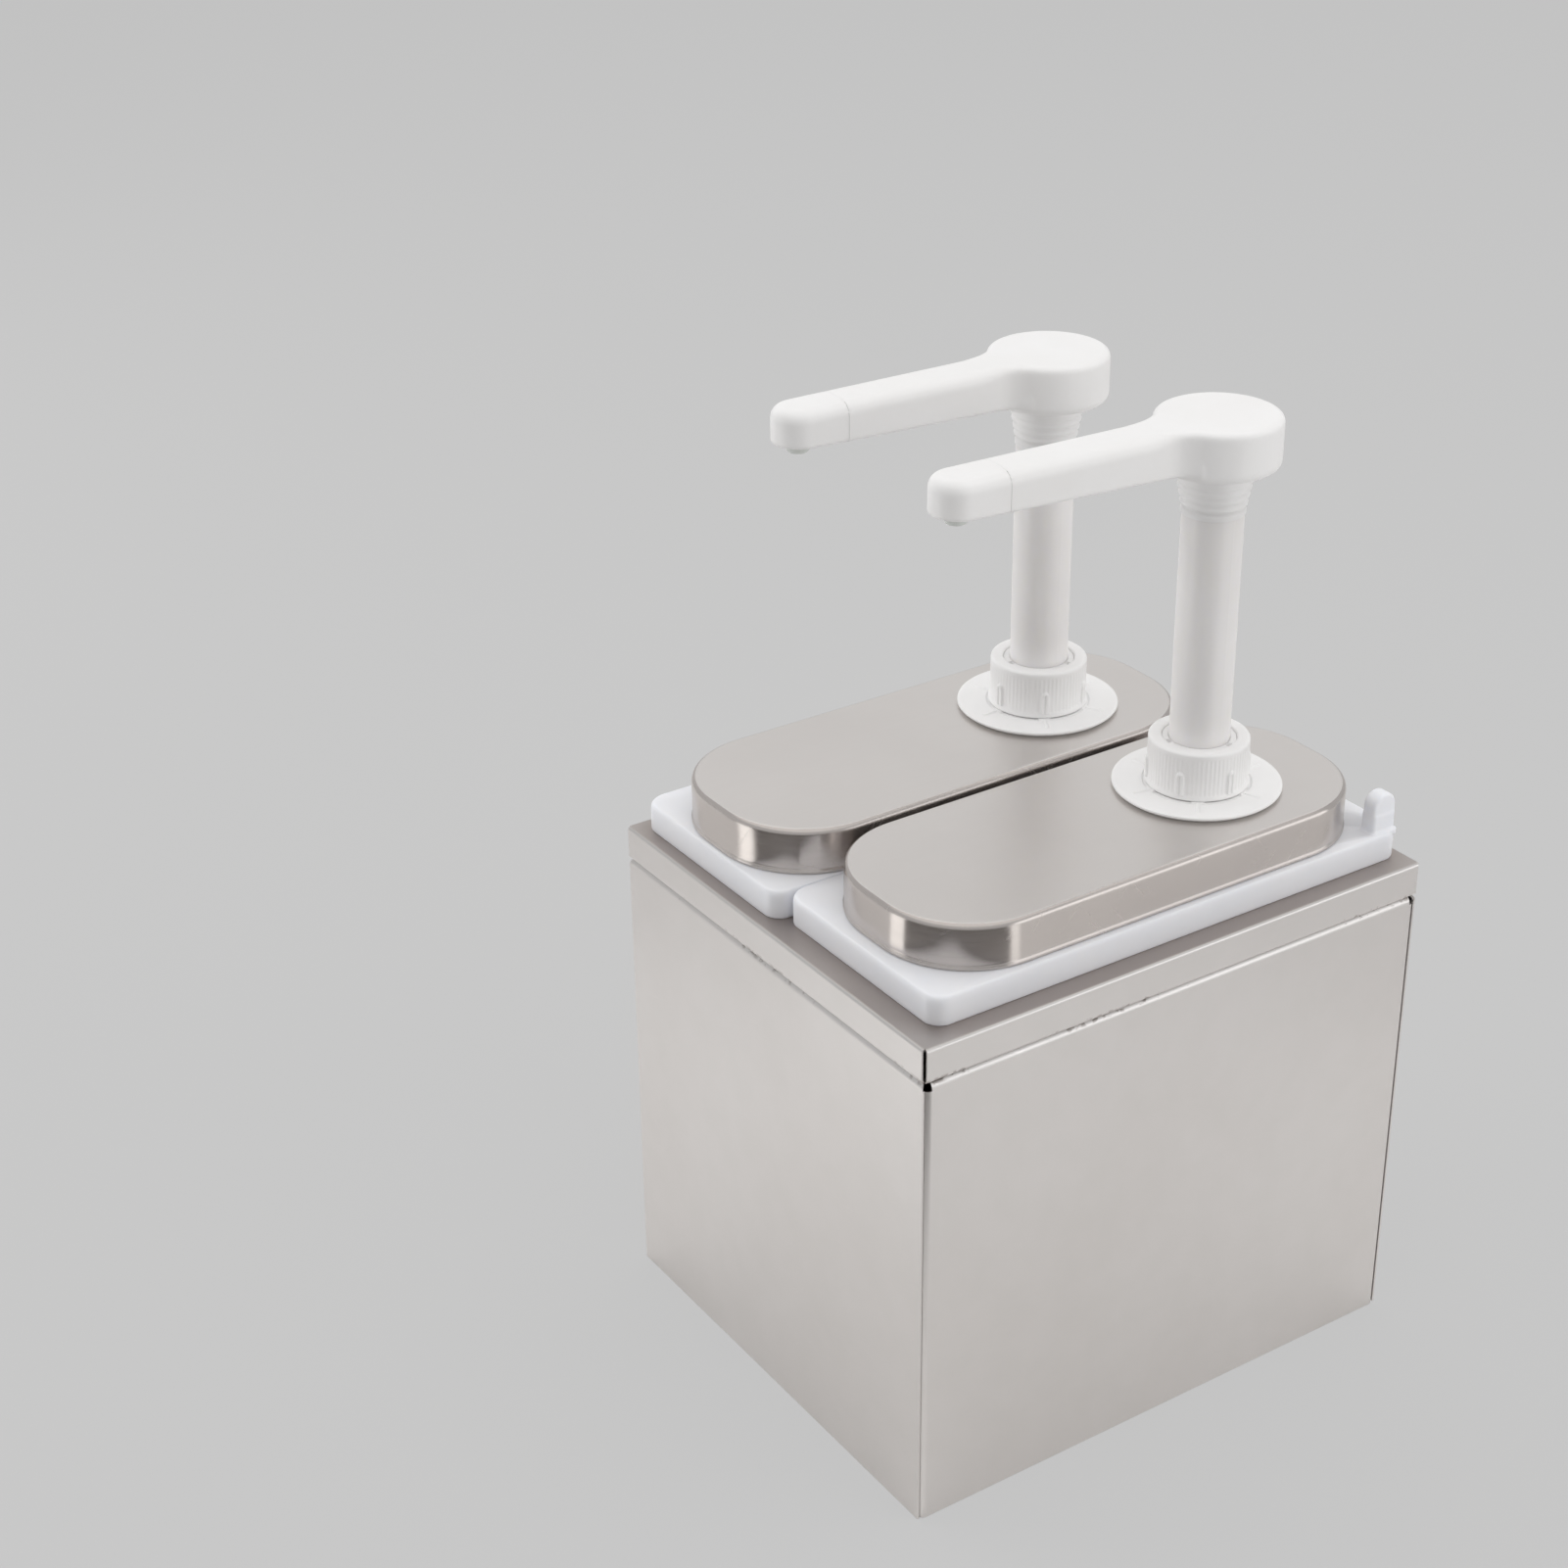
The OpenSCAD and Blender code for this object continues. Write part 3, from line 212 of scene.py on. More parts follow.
def soften(points, radius, steps, closed=True):
    """Rounds the corners of an outline. A point may carry its own radius in `radius`."""
    count = len(points)
    vectors = [np.array(p, dtype=float) for p in points]
    out = []
    for i, here in enumerate(vectors):
        if not closed and i in (0, count - 1):
            out.append(here)
            continue
        r = radius[i] if isinstance(radius, (list, tuple)) else radius
        before = vectors[i - 1] - here
        after = vectors[(i + 1) % count] - here
        reach = min(r, SIDE_SHARE * np.linalg.norm(before), SIDE_SHARE * np.linalg.norm(after))
        if reach <= 0:
            out.append(here)
            continue
        start = here + before / np.linalg.norm(before) * reach
        end = here + after / np.linalg.norm(after) * reach
        for step in range(steps + 1):
            t = step / steps
            out.append((1 - t) ** 2 * start + 2 * t * (1 - t) * here + t * t * end)
    return out


def rounded(corners, steps, closed=True):
    """Rounds an outline whose corners each carry their own radius: (point, radius)."""
    return soften([point for point, _ in corners], [r for _, r in corners], steps, closed)


def divided(points, longest, closed=True):
    """Adds points so that no step of the outline is longer than `longest`."""
    out = []
    count = len(points)
    for i in range(count if closed else count - 1):
        a, b = np.array(points[i]), np.array(points[(i + 1) % count])
        parts = max(1, math.ceil(np.linalg.norm(b - a) / longest))
        out += [a + (b - a) * k / parts for k in range(parts)]
    if not closed:
        out.append(np.array(points[-1]))
    return out


def grid_faces(rings, columns, close_rings):
    """Quads between neighbouring rings of `columns` points each."""
    faces = []
    for i in range(rings if close_rings else rings - 1):
        here, there = i * columns, ((i + 1) % rings) * columns
        for j in range(columns):
            k = (j + 1) % columns
            faces.append((here + j, here + k, there + k, there + j))
    return faces


def ramp(value, width):
    """Rises from 0 to 1 while `value` goes from 0 to `width`."""
    return min(1.0, max(0.0, value / width))


def ramps(values, width):
    """The same for a whole array."""
    return np.clip(values / width, 0, 1)


def quarter_turn(steps):
    """The angles of a quarter turn, with both ends."""
    return [math.pi / 2 * k / steps for k in range(steps + 1)]


def turned(profile, steps, shape=None):
    """Sweeps a closed outline of (radius, height) round the Z axis."""
    points = []
    for r, z in profile:
        for j in range(steps):
            a = math.tau * j / steps
            rr, zz = shape(r, z, a) if shape else (r, z)
            points.append((rr * math.cos(a), rr * math.sin(a), zz))
    return points, grid_faces(len(profile), steps, True)


def plan_ring(w, l, corner, z, per_corner, per_side):
    """A rectangle of w by l with round corners, at height z."""
    corner = max(corner, LEAST_CORNER)
    half_w, half_l = w / 2 - corner, l / 2 - corner
    corners = []
    for quarter, (sx, sy) in enumerate(((1, 1), (-1, 1), (-1, -1), (1, -1))):
        arc = []
        for step in range(per_corner + 1):
            a = math.pi / 2 * (quarter + step / per_corner)
            arc.append((sx * half_w + corner * math.cos(a), sy * half_l + corner * math.sin(a), z))
        corners.append(arc)
    ring = []
    for quarter, arc in enumerate(corners):
        ring += arc
        following = corners[(quarter + 1) % 4][0]
        for step in range(1, per_side):
            t = step / per_side
            ring.append(tuple(a + (b - a) * t for a, b in zip(arc[-1], following)))
    return ring


def lofted(rings, closed=True):
    """Joins rings of the same number of points. Open ends are capped."""
    columns = len(rings[0])
    points = [p for ring in rings for p in ring]
    faces = grid_faces(len(rings), columns, closed)
    if not closed:
        faces.append(tuple(reversed(range(columns))))
        faces.append(tuple(range(len(points) - columns, len(points))))
    return points, faces


def crossed_cells(inside):
    """The cells of a grid whose corners lie on both sides, and each one's number in that list."""
    count = np.zeros([n - 1 for n in inside.shape], dtype=int)
    nx, ny, nz = count.shape
    for dx in (0, 1):
        for dy in (0, 1):
            for dz in (0, 1):
                count += inside[dx:dx + nx, dy:dy + ny, dz:dz + nz]
    crossed = (count > 0) & (count < 8)
    cells = np.argwhere(crossed)
    index = np.full(count.shape, -1)
    index[crossed] = np.arange(len(cells))
    return cells, index


def drawn_to_surface(field, points, step):
    """Moves points along the field's slope until they lie on its zero level."""
    probe = step * SKIN_PROBE
    for _ in range(SKIN_ROUNDS):
        value = field(*points.T)
        slope = np.stack([
            field(*(points + probe * np.eye(3)[k]).T) - field(*(points - probe * np.eye(3)[k]).T)
            for k in range(3)
        ], axis=1) / (2 * probe)
        length = np.maximum((slope ** 2).sum(axis=1), LEAST_SLOPE)
        move = slope * (value / length)[:, None]
        size = np.linalg.norm(move, axis=1)
        move *= np.minimum(1, step / np.maximum(size, 1e-9))[:, None]
        points = points - move
    return points


def cell_faces(inside, index):
    """A quad for each grid edge that crosses the surface, between the four cells round it."""
    faces = []
    for axis in range(3):
        one, two = (axis + 1) % 3, (axis + 2) % 3
        a = np.take(inside, range(inside.shape[axis] - 1), axis=axis)
        b = np.take(inside, range(1, inside.shape[axis]), axis=axis)
        for flip, hits in ((False, a & ~b), (True, ~a & b)):
            cell = np.argwhere(hits)
            corner = []
            for d1, d2 in ((1, 1), (0, 1), (0, 0), (1, 0)):
                spot = cell.copy()
                spot[:, one] -= d1
                spot[:, two] -= d2
                corner.append(index[tuple(spot.T)])
            faces += np.stack(corner[::-1] if flip else corner, axis=1).tolist()
    return faces


def skinned(field, low, high, step):
    """Skins the zero level of a distance field: one point in each cell that it crosses."""
    axes = [np.arange(a, b + step, step) for a, b in zip(low, high)]
    inside = field(*np.meshgrid(*axes, indexing="ij")) < 0
    cells, index = crossed_cells(inside)
    points = drawn_to_surface(field, np.array(low) + (cells + 0.5) * step, step)
    return points.tolist(), cell_faces(inside, index)


def moved(points, at, turn=0.0):
    """Turns points about the Z axis and moves them."""
    c, s = math.cos(turn), math.sin(turn)
    return [(c * x - s * y + at[0], s * x + c * y + at[1], z + at[2]) for x, y, z in points]


def new_object(name, data):
    """Adds an object to the scene."""
    obj = bpy.data.objects.new(name, data)
    bpy.context.scene.collection.objects.link(obj)
    return obj


def smooth_mesh(name, points, faces):
    """A smooth mesh in metres from points in millimetres."""
    mesh = bpy.data.meshes.new(name)
    mesh.from_pydata([[c * MM for c in p] for p in points], [], faces)
    mesh.update()
    mesh.shade_smooth()
    return mesh


def piece(name, points, faces, materials, body, node, crease, face_slots=None):
    """Makes one piece of the object, in place, ties it to its body and hides the CAD node that it
    replaces.
    """
    mesh = smooth_mesh(name, points, faces)
    mesh.set_sharp_from_angle(angle=math.radians(crease))
    for material in materials:
        mesh.materials.append(material)
    if face_slots:
        mesh.polygons.foreach_set("material_index", face_slots)
    obj = new_object(name, mesh)
    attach(obj, body)
    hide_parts(node)
    return obj


# Shader tools

def add(tree, kind, **settings):
    """Adds a shader node. Settings name its properties or, with spaces as _, its sockets."""
    made = tree.nodes.new(kind)
    for key, value in settings.items():
        socket = made.inputs.get(key.replace("_", " "))
        if socket is not None and not hasattr(made, key):
            fill(tree, socket, value)
        else:
            setattr(made, key, value)
    return made


def fill(tree, socket, value):
    """Links a socket to another node's output, or sets it to a plain value."""
    if isinstance(value, bpy.types.NodeSocket):
        tree.links.new(value, socket)
    else:
        socket.default_value = value


def maths(tree, operation, *values, clamp=False):
    """A maths node on links or plain values."""
    made = add(tree, "ShaderNodeMath", operation=operation, use_clamp=clamp)
    for socket, value in zip(made.inputs, values):
        fill(tree, socket, value)
    return made.outputs[0]


def spread(tree, value, low, high, out_low=0.0, out_high=1.0):
    """Maps a value from one range to another, with its ends held."""
    made = add(tree, "ShaderNodeMapRange")
    for socket, item in zip(made.inputs, (value, low, high, out_low, out_high)):
        fill(tree, socket, item)
    return made.outputs[0]


def blend(tree, share, one, two, kind="MIX"):
    """Mixes two colours."""
    made = add(tree, "ShaderNodeMix", data_type="RGBA", blend_type=kind)
    for socket, value in zip((made.inputs[0], made.inputs[6], made.inputs[7]), (share, one, two)):
        fill(tree, socket, value)
    return made.outputs[2]


def clouds(tree, vector, scale, detail=3.0, roughness=0.5):
    """Cloudy noise round 0.5."""
    made = add(tree, "ShaderNodeTexNoise", Scale=scale, Detail=detail, Roughness=roughness)
    tree.links.new(vector, made.inputs["Vector"])
    return made.outputs["Fac"]


def place(tree):
    """Points of the piece in metres, in the frame that all pieces share."""
    return add(tree, "ShaderNodeTexCoord").outputs["Object"]


def stretched(tree, vector, scale):
    """Points scaled along x, y and z."""
    made = add(tree, "ShaderNodeVectorMath", operation="MULTIPLY")
    fill(tree, made.inputs[0], vector)
    fill(tree, made.inputs[1], scale)
    return made.outputs[0]


def new_group(name, inputs, outputs):
    """A shader node group with named sockets: (name, kind, start value) each."""
    tree = bpy.data.node_groups.new(name, "ShaderNodeTree")
    for label, kind, start in inputs:
        socket = tree.interface.new_socket(name=label, in_out="INPUT", socket_type=kind)
        socket.default_value = start
    for label, kind in outputs:
        tree.interface.new_socket(name=label, in_out="OUTPUT", socket_type=kind)
    return tree, tree.nodes.new("NodeGroupInput").outputs, tree.nodes.new("NodeGroupOutput").inputs


FLOAT, COLOR, VECTOR = "NodeSocketFloat", "NodeSocketColor", "NodeSocketVector"


def make_grain_group():
    """Fine parallel lines of a brushed or rolled sheet, stretched along one axis."""
    tree, given, result = new_group(
        "sheet_grain",
        [("Stretch", VECTOR, (1, 1, 1)), ("Fineness", FLOAT, 1.0)],
        [("Height", FLOAT), ("Tone", FLOAT)],
    )
    fine_share, broad_share, broad_scale = 0.7, 0.3, 0.17
    dark, bright = 0.35, 0.65
    lines = stretched(tree, place(tree), given["Stretch"])
    fine = clouds(tree, lines, 1.0, detail=4.0, roughness=0.7)
    broad = clouds(tree, lines, broad_scale, detail=2.0)
    height = maths(tree, "MULTIPLY_ADD", fine, fine_share, maths(tree, "MULTIPLY", broad, broad_share))
    tree.links.new(maths(tree, "MULTIPLY", height, given["Fineness"]), result["Height"])
    tree.links.new(spread(tree, height, dark, bright), result["Tone"])
    return tree


def make_patch_group():
    """Faint cloudy patches, as on handled sheet or moulded plastic."""
    tree, given, result = new_group(
        "soft_patches",
        [("Size", FLOAT, 20.0), ("Light", COLOR, STEEL_LIGHT), ("Dark", COLOR, STEEL_DARK)],
        [("Color", COLOR), ("Mask", FLOAT)],
    )
    thin, thick = 0.38, 0.64
    made = add(tree, "ShaderNodeTexNoise", Detail=4.0, Roughness=0.55)
    tree.links.new(place(tree), made.inputs["Vector"])
    tree.links.new(given["Size"], made.inputs["Scale"])
    mask = spread(tree, made.outputs["Fac"], thin, thick)
    tree.links.new(blend(tree, mask, given["Light"], given["Dark"]), result["Color"])
    tree.links.new(mask, result["Mask"])
    return tree


def make_scratch_group():
    """Short thin scratches that run a little across each other."""
    tree, given, result = new_group(
        "hair_scratches",
        [("Amount", FLOAT, 0.5), ("Turn", FLOAT, 0.3)],
        [("Mask", FLOAT)],
    )
    slimness, start, full = 22, 0.70, 0.76
    where = place(tree)
    total = None
    for sign, size in ((1, 34.0), (-1, 51.0)):
        turned_by = add(tree, "ShaderNodeVectorRotate", rotation_type="EULER_XYZ")
        tree.links.new(where, turned_by.inputs["Vector"])
        angles = add(tree, "ShaderNodeCombineXYZ")
        angle = maths(tree, "MULTIPLY", given["Turn"], sign)
        for socket in angles.inputs:
            tree.links.new(angle, socket)
        tree.links.new(angles.outputs[0], turned_by.inputs["Rotation"])
        lines = stretched(tree, turned_by.outputs[0], (size, size, size * slimness))
        mask = spread(tree, clouds(tree, lines, 1.0, detail=1.0), start, full)
        total = mask if total is None else maths(tree, "MAXIMUM", total, mask)
    tree.links.new(maths(tree, "MULTIPLY", total, given["Amount"]), result["Mask"])
    return tree


def make_speck_group():
    """Small dark nicks along a level edge, thinning out away from it."""
    tree, given, result = new_group(
        "edge_nicks",
        [("Level", FLOAT, 0.0), ("Band", FLOAT, 0.002), ("Size", FLOAT, 300.0), ("Least", FLOAT, 0.6)],
        [("Mask", FLOAT)],
    )
    rare_size, rare_base, sharpness = 22.0, 0.5, 14.0
    where = place(tree)
    apart = add(tree, "ShaderNodeSeparateXYZ")
    tree.links.new(where, apart.inputs[0])
    away = maths(tree, "ABSOLUTE", maths(tree, "SUBTRACT", apart.outputs[2], given["Level"]))
    near = maths(tree, "SUBTRACT", 1.0, maths(tree, "DIVIDE", away, given["Band"]), clamp=True)
    grain = add(tree, "ShaderNodeTexNoise", Detail=3.0, Roughness=0.6)
    tree.links.new(where, grain.inputs["Vector"])
    tree.links.new(given["Size"], grain.inputs["Scale"])
    rare = maths(tree, "ADD", clouds(tree, where, rare_size, detail=1.0), rare_base)
    nick = maths(tree, "SUBTRACT", maths(tree, "MULTIPLY", grain.outputs["Fac"], rare), given["Least"])
    sharp = maths(tree, "MULTIPLY", nick, sharpness, clamp=True)
    tree.links.new(maths(tree, "MULTIPLY", sharp, near), result["Mask"])
    return tree


def make_skin_group():
    """The faint orange peel and flow marks of moulded plastic."""
    tree, given, result = new_group(
        "moulded_skin",
        [("Peel", FLOAT, 900.0), ("Flow", FLOAT, 60.0)],
        [("Height", FLOAT), ("Mask", FLOAT)],
    )
    flow_share, thin, thick = 0.6, 0.35, 0.65
    where = place(tree)
    peel = add(tree, "ShaderNodeTexNoise", Detail=2.0)
    flow = add(tree, "ShaderNodeTexNoise", Detail=3.0, Distortion=0.4)
    for made, name in ((peel, "Peel"), (flow, "Flow")):
        tree.links.new(where, made.inputs["Vector"])
        tree.links.new(given[name], made.inputs["Scale"])
    height = maths(tree, "MULTIPLY_ADD", flow.outputs["Fac"], flow_share, peel.outputs["Fac"])
    tree.links.new(height, result["Height"])
    tree.links.new(spread(tree, flow.outputs["Fac"], thin, thick), result["Mask"])
    return tree


def make_painted_shade_group():
    """Painted shade where a sheet faces up, darker still close to what stands on it."""
    strength, slope, level = 2.2, 0.8, 0.98
    tree, given, result = new_group(
        "painted_nook_shade",
        [("Reach", FLOAT, 0.02), ("Least", FLOAT, 0.3)],
        [("Mask", FLOAT)],
    )
    close = add(tree, "ShaderNodeAmbientOcclusion", samples=8)
    tree.links.new(given["Reach"], close.inputs["Distance"])
    near = maths(tree, "SUBTRACT", 1.0, close.outputs["AO"], clamp=True)
    near = maths(tree, "MULTIPLY_ADD", near, strength, given["Least"])
    facing = add(tree, "ShaderNodeSeparateXYZ")
    tree.links.new(add(tree, "ShaderNodeNewGeometry").outputs["True Normal"], facing.inputs[0])
    up = spread(tree, facing.outputs[2], slope, level)
    tree.links.new(maths(tree, "MULTIPLY", near, up, clamp=True), result["Mask"])
    return tree


GRAIN = make_grain_group()
PAINTED_SHADE = make_painted_shade_group()
PATCHES = make_patch_group()
SCRATCHES = make_scratch_group()
NICKS = make_speck_group()
SKIN = make_skin_group()


def use(tree, group, **values):
    """Places a shader group in a material and gives it its values."""
    made = tree.nodes.new("ShaderNodeGroup")
    made.node_tree = group
    for key, value in values.items():
        fill(tree, made.inputs[key], value)
    return made.outputs


def new_material(name, **plain):
    """A material with one Principled shader, whose plain values are set on its own sockets."""
    material = bpy.data.materials.new(name)
    material.use_nodes = True
    tree = material.node_tree
    shader = tree.nodes["Principled BSDF"]
    for key, value in plain.items():
        shader.inputs[key.replace("_", " ")].default_value = value
    return material, tree, shader.inputs


def raise_surface(tree, shader, height, distance, strength):
    """Bumps the surface by a height."""
    bump = add(tree, "ShaderNodeBump", Strength=strength, Distance=distance)
    tree.links.new(height, bump.inputs["Height"])
    tree.links.new(bump.outputs[0], shader["Normal"])


def make_cabinet_steel():
    """Matt rolled sheet: faint grain, cloudy patches, nicks along the skirt, painted shade where it faces
    up.
    """
    grain_share, nick_share = 0.12, 0.85
    smooth, rough, scratch_gloss = 0.385, 0.395, -0.08
    scratch_depth, nick_depth = -0.5, -6.0
    material, tree, shader = new_material("cabinet_sheet", Metallic=1.0)
    grain = use(tree, GRAIN, Stretch=UPRIGHT_GRAIN, Fineness=1.0)
    patches = use(tree, PATCHES, Size=9.0, Light=STEEL_LIGHT, Dark=STEEL_DARK)
    fine_patches = use(tree, PATCHES, Size=70.0, Light=FINE_LIGHT, Dark=FINE_DARK)
    scratches = use(tree, SCRATCHES, Amount=0.5, Turn=0.25)["Mask"]
    nicks = use(tree, NICKS, Level=SKIRT_LOW * MM, Band=0.0020, Size=300.0, Least=0.63)["Mask"]
    # Painted shade: up-facing faces darkened, most of all in the corners beside the jars
    painted_shade_mask = use(tree, PAINTED_SHADE, Reach=0.03, Least=0.40)["Mask"]
    color = blend(tree, 1.0, patches["Color"], fine_patches["Color"], "MULTIPLY")
    toned = blend(tree, maths(tree, "MULTIPLY", grain["Tone"], grain_share), color, STEEL_DARK)
    shaded = blend(tree, painted_shade_mask, toned, STEEL_SHADED)
    nicked = blend(tree, maths(tree, "MULTIPLY", nicks, nick_share), shaded, SPECK_BROWN)
    tree.links.new(nicked, shader["Base Color"])
    matt = spread(tree, patches["Mask"], 0.0, 1.0, smooth, rough)
    tree.links.new(maths(tree, "MULTIPLY_ADD", scratches, scratch_gloss, matt), shader["Roughness"])
    height = maths(tree, "MULTIPLY_ADD", scratches, scratch_depth, grain["Height"])
    height = maths(tree, "MULTIPLY_ADD", nicks, nick_depth, height)
    raise_surface(tree, shader, height, SHEET_GRAIN_DEPTH, strength=0.6)
    return material


def make_lid_steel(name, colors, smooth, rough, stretch, streak=0.0):
    """Brushed or satin steel. `streak` smears what it mirrors up and down."""
    grain_share, scratch_rough, scratch_depth = 0.25, 0.08, -0.4
    material, tree, shader = new_material(
        name,
        Metallic=1.0,
        Anisotropic=streak,
        Anisotropic_Rotation=LEVEL_BRUSHING,
    )
    if streak > 0:
        around = add(tree, "ShaderNodeTangent", direction_type="RADIAL", axis="Z")
        tree.links.new(around.outputs[0], shader["Tangent"])
    grain = use(tree, GRAIN, Stretch=stretch, Fineness=1.0)
    patches = use(tree, PATCHES, Size=12.0, Light=colors[0], Dark=colors[1])
    scratches = use(tree, SCRATCHES, Amount=0.6, Turn=0.9)["Mask"]
    toned = blend(tree, maths(tree, "MULTIPLY", grain["Tone"], grain_share), patches["Color"], colors[1])
    tree.links.new(toned, shader["Base Color"])
    matt = spread(tree, grain["Tone"], 0.0, 1.0, smooth, rough)
    tree.links.new(maths(tree, "MULTIPLY_ADD", scratches, scratch_rough, matt), shader["Roughness"])
    height = maths(tree, "MULTIPLY_ADD", scratches, scratch_depth, grain["Height"])
    raise_surface(tree, shader, height, LID_GRAIN_DEPTH, strength=0.5)
    return material


def make_plastic(name, light, shade, rough, see_in, glow_radius):
    """Moulded plastic with a faint skin, light from within and slight unevenness."""
    smoother, rougher = 0.04, 0.05
    material, tree, shader = new_material(
        name,
        Subsurface_Weight=see_in,
        Subsurface_Radius=glow_radius,
        Subsurface_Scale=1.0,
        IOR=1.49,
    )
    skin = use(tree, SKIN, Peel=PEEL_SIZE, Flow=FLOW_SIZE)
    patches = use(tree, PATCHES, Size=PATCH_SIZE, Light=light, Dark=shade)
    tree.links.new(patches["Color"], shader["Base Color"])
    matt = spread(tree, skin["Mask"], 0.0, 1.0, rough - smoother, rough + rougher)
    tree.links.new(matt, shader["Roughness"])
    raise_surface(tree, shader, skin["Height"], SKIN_DEPTH, SKIN_STRENGTH)
    return material


def make_metals():
    """The steel finishes, by short name."""
    # The lid's side is brushed, and its darker colours are painted shade
    top_colors, painted_shade_side_colors = (LID_LIGHT, LID_DARK), (LID_SIDE_PAINTED_SHADE_LIGHT, LID_SIDE_PAINTED_SHADE_DARK)
    return {
        "sheet": make_cabinet_steel(),
        "lid_top": make_lid_steel(
            "lid_satin_top", top_colors, smooth=0.33, rough=0.36, stretch=LID_TOP_GRAIN
        ),
        "lid_side": make_lid_steel(
            "lid_brushed_side_painted_shade", painted_shade_side_colors, smooth=0.21, rough=0.27, stretch=LID_SIDE_GRAIN, streak=0.88
        ),
        "bright": make_lid_steel(
            "bright_wire_steel", top_colors, smooth=0.15, rough=0.22, stretch=WIRE_GRAIN
        ),
    }


def make_plastics():
    """The plastic and rubber finishes, by short name. Light goes `glow_radius` metres into them."""
    return {
        "jar": make_plastic(
            "jar_milky_plastic", JAR_MILK, JAR_BLUE,
            rough=0.36, see_in=0.3, glow_radius=(0.010, 0.011, 0.013),
        ),
        "white": make_plastic(
            "pump_white_plastic", PLASTIC_WHITE, PLASTIC_SHADE,
            rough=0.38, see_in=0.15, glow_radius=(0.003, 0.003, 0.003),
        ),
        "stem": make_plastic(
            "stem_white_plastic", STEM_WHITE, STEM_SHADE,
            rough=0.34, see_in=0.3, glow_radius=(0.004, 0.004, 0.003),
        ),
        "nozzle": make_plastic(
            "nozzle_clear_plastic", NOZZLE_GREY, NOZZLE_GREY,
            rough=0.30, see_in=0.4, glow_radius=(0.004, 0.004, 0.004),
        ),
        "rubber": make_plastic(
            "seal_grey_rubber", RUBBER_GREY, RUBBER_GREY,
            rough=0.6, see_in=0.0, glow_radius=(0.001, 0.001, 0.001),
        ),
    }


MATERIALS = {**make_metals(), **make_plastics()}


# Pieces

def white_piece(side, name, points, faces, turn, body, node, crease=45):
    """A piece of white plastic on the pump's axis, turned about it."""
    piece(
        f"{side}_{name}", moved(points, PUMP_AT[side], turn), faces, [MATERIALS["white"]],
        f"{side}_{body}", f"{side}_{node}", crease,
    )


def lid_ring(inset, z):
    """The lid's plan at height z, drawn in by `inset`."""
    w, l, corner = LID_W - 2 * inset, LID_L - 2 * inset, LID_CORNER - inset
    return plan_ring(w, l, corner, z, LID_CORNER_STEPS, LID_SIDE_STEPS)


def lid_unevenness(side, x, y):
    """How far the sheet of the lid's top strays from flat. It is flat under the pump's foot."""
    away = ramp(math.hypot(x, y - PUMP_BACK) - DISC_R, WAVE_FADE)
    wave = noise.noise(Vector((x / WAVE_W, y / WAVE_L, WAVE_SEEDS[side])))
    return -away * WAVE_DEPTH * (1 + wave)


def lid_face(side, z):
    """Rings from the pump's hole out to the lid's round edge, closest together at the edge."""
    inner = [
        (HOLE_R * math.cos(a), PUMP_BACK + HOLE_R * math.sin(a))
        for a in (math.atan2(y - PUMP_BACK, x) for x, y, _ in lid_ring(0, 0))
    ]
    outer = lid_ring(LID_FACE_INSET, z)
    rings = []
    for k in range(LID_FACE_RINGS + 1):
        t = 1 - (1 - k / LID_FACE_RINGS) ** LID_FACE_CROWDING
        flat = [(a[0] + (b[0] - a[0]) * t, a[1] + (b[1] - a[1]) * t) for a, b in zip(inner, outer)]
        rings.append([(x, y, z + lid_unevenness(side, x, y)) for x, y in flat])
    return rings


def lid_outside():
    """The lid's round upper edge, its upright side and the hem at its foot, from the top down."""
    edge = [
        lid_ring(LID_EDGE * (1 - math.sin(a)), LID_TOP - LID_EDGE * (1 - math.cos(a)))
        for a in quarter_turn(LID_EDGE_STEPS)
    ]
    upright = [lid_ring(0, z) for z in LID_SIDE_LEVELS]
    hem = [
        (0, LID_HEM_H), (-LID_HEM_OUT, LID_HEM_H - LID_HEM_EDGE), (-LID_HEM_OUT, LID_HEM_EDGE),
        (LID_HEM_IN, 0.0),
    ]
    return edge + upright + [lid_ring(inset, RIM_TOP + z) for inset, z in hem]


def lid_inside():
    """The inside of the lid's side and edge, from the foot up."""
    r = LID_EDGE - LID_SHEET
    upright = [lid_ring(LID_SHEET, RIM_TOP), lid_ring(LID_SHEET, LID_TOP - LID_EDGE)]
    return upright + [
        lid_ring(LID_EDGE - r * math.cos(a), LID_TOP - LID_EDGE + r * math.sin(a))
        for a in quarter_turn(LID_EDGE_STEPS)[1:]
    ]


def make_lid(side):
    """A pressed lid with a round upper edge, a hemmed foot and a hole for the pump."""
    top, outside = lid_face(side, LID_TOP), lid_outside()
    under = lid_face(side, LID_TOP - LID_SHEET)[::-1]
    rings = top + outside + lid_inside() + under
    points, faces = lofted(rings)
    columns = len(rings[0])
    # The lid's side and outer faces get the brushed material, whose darker colour is painted shade
    brushed = range(len(top) + 2, len(top) + len(outside) + 2)
    slots = [int(index // columns in brushed) for index in range(len(faces))]
    piece(
        f"{side}_pressed_lid", moved(points, LID_AT[side]), faces,
        [MATERIALS["lid_top"], MATERIALS["lid_side"]],
        f"{side}_lid_unit", f"{side}_lid", crease=50, face_slots=slots,
    )


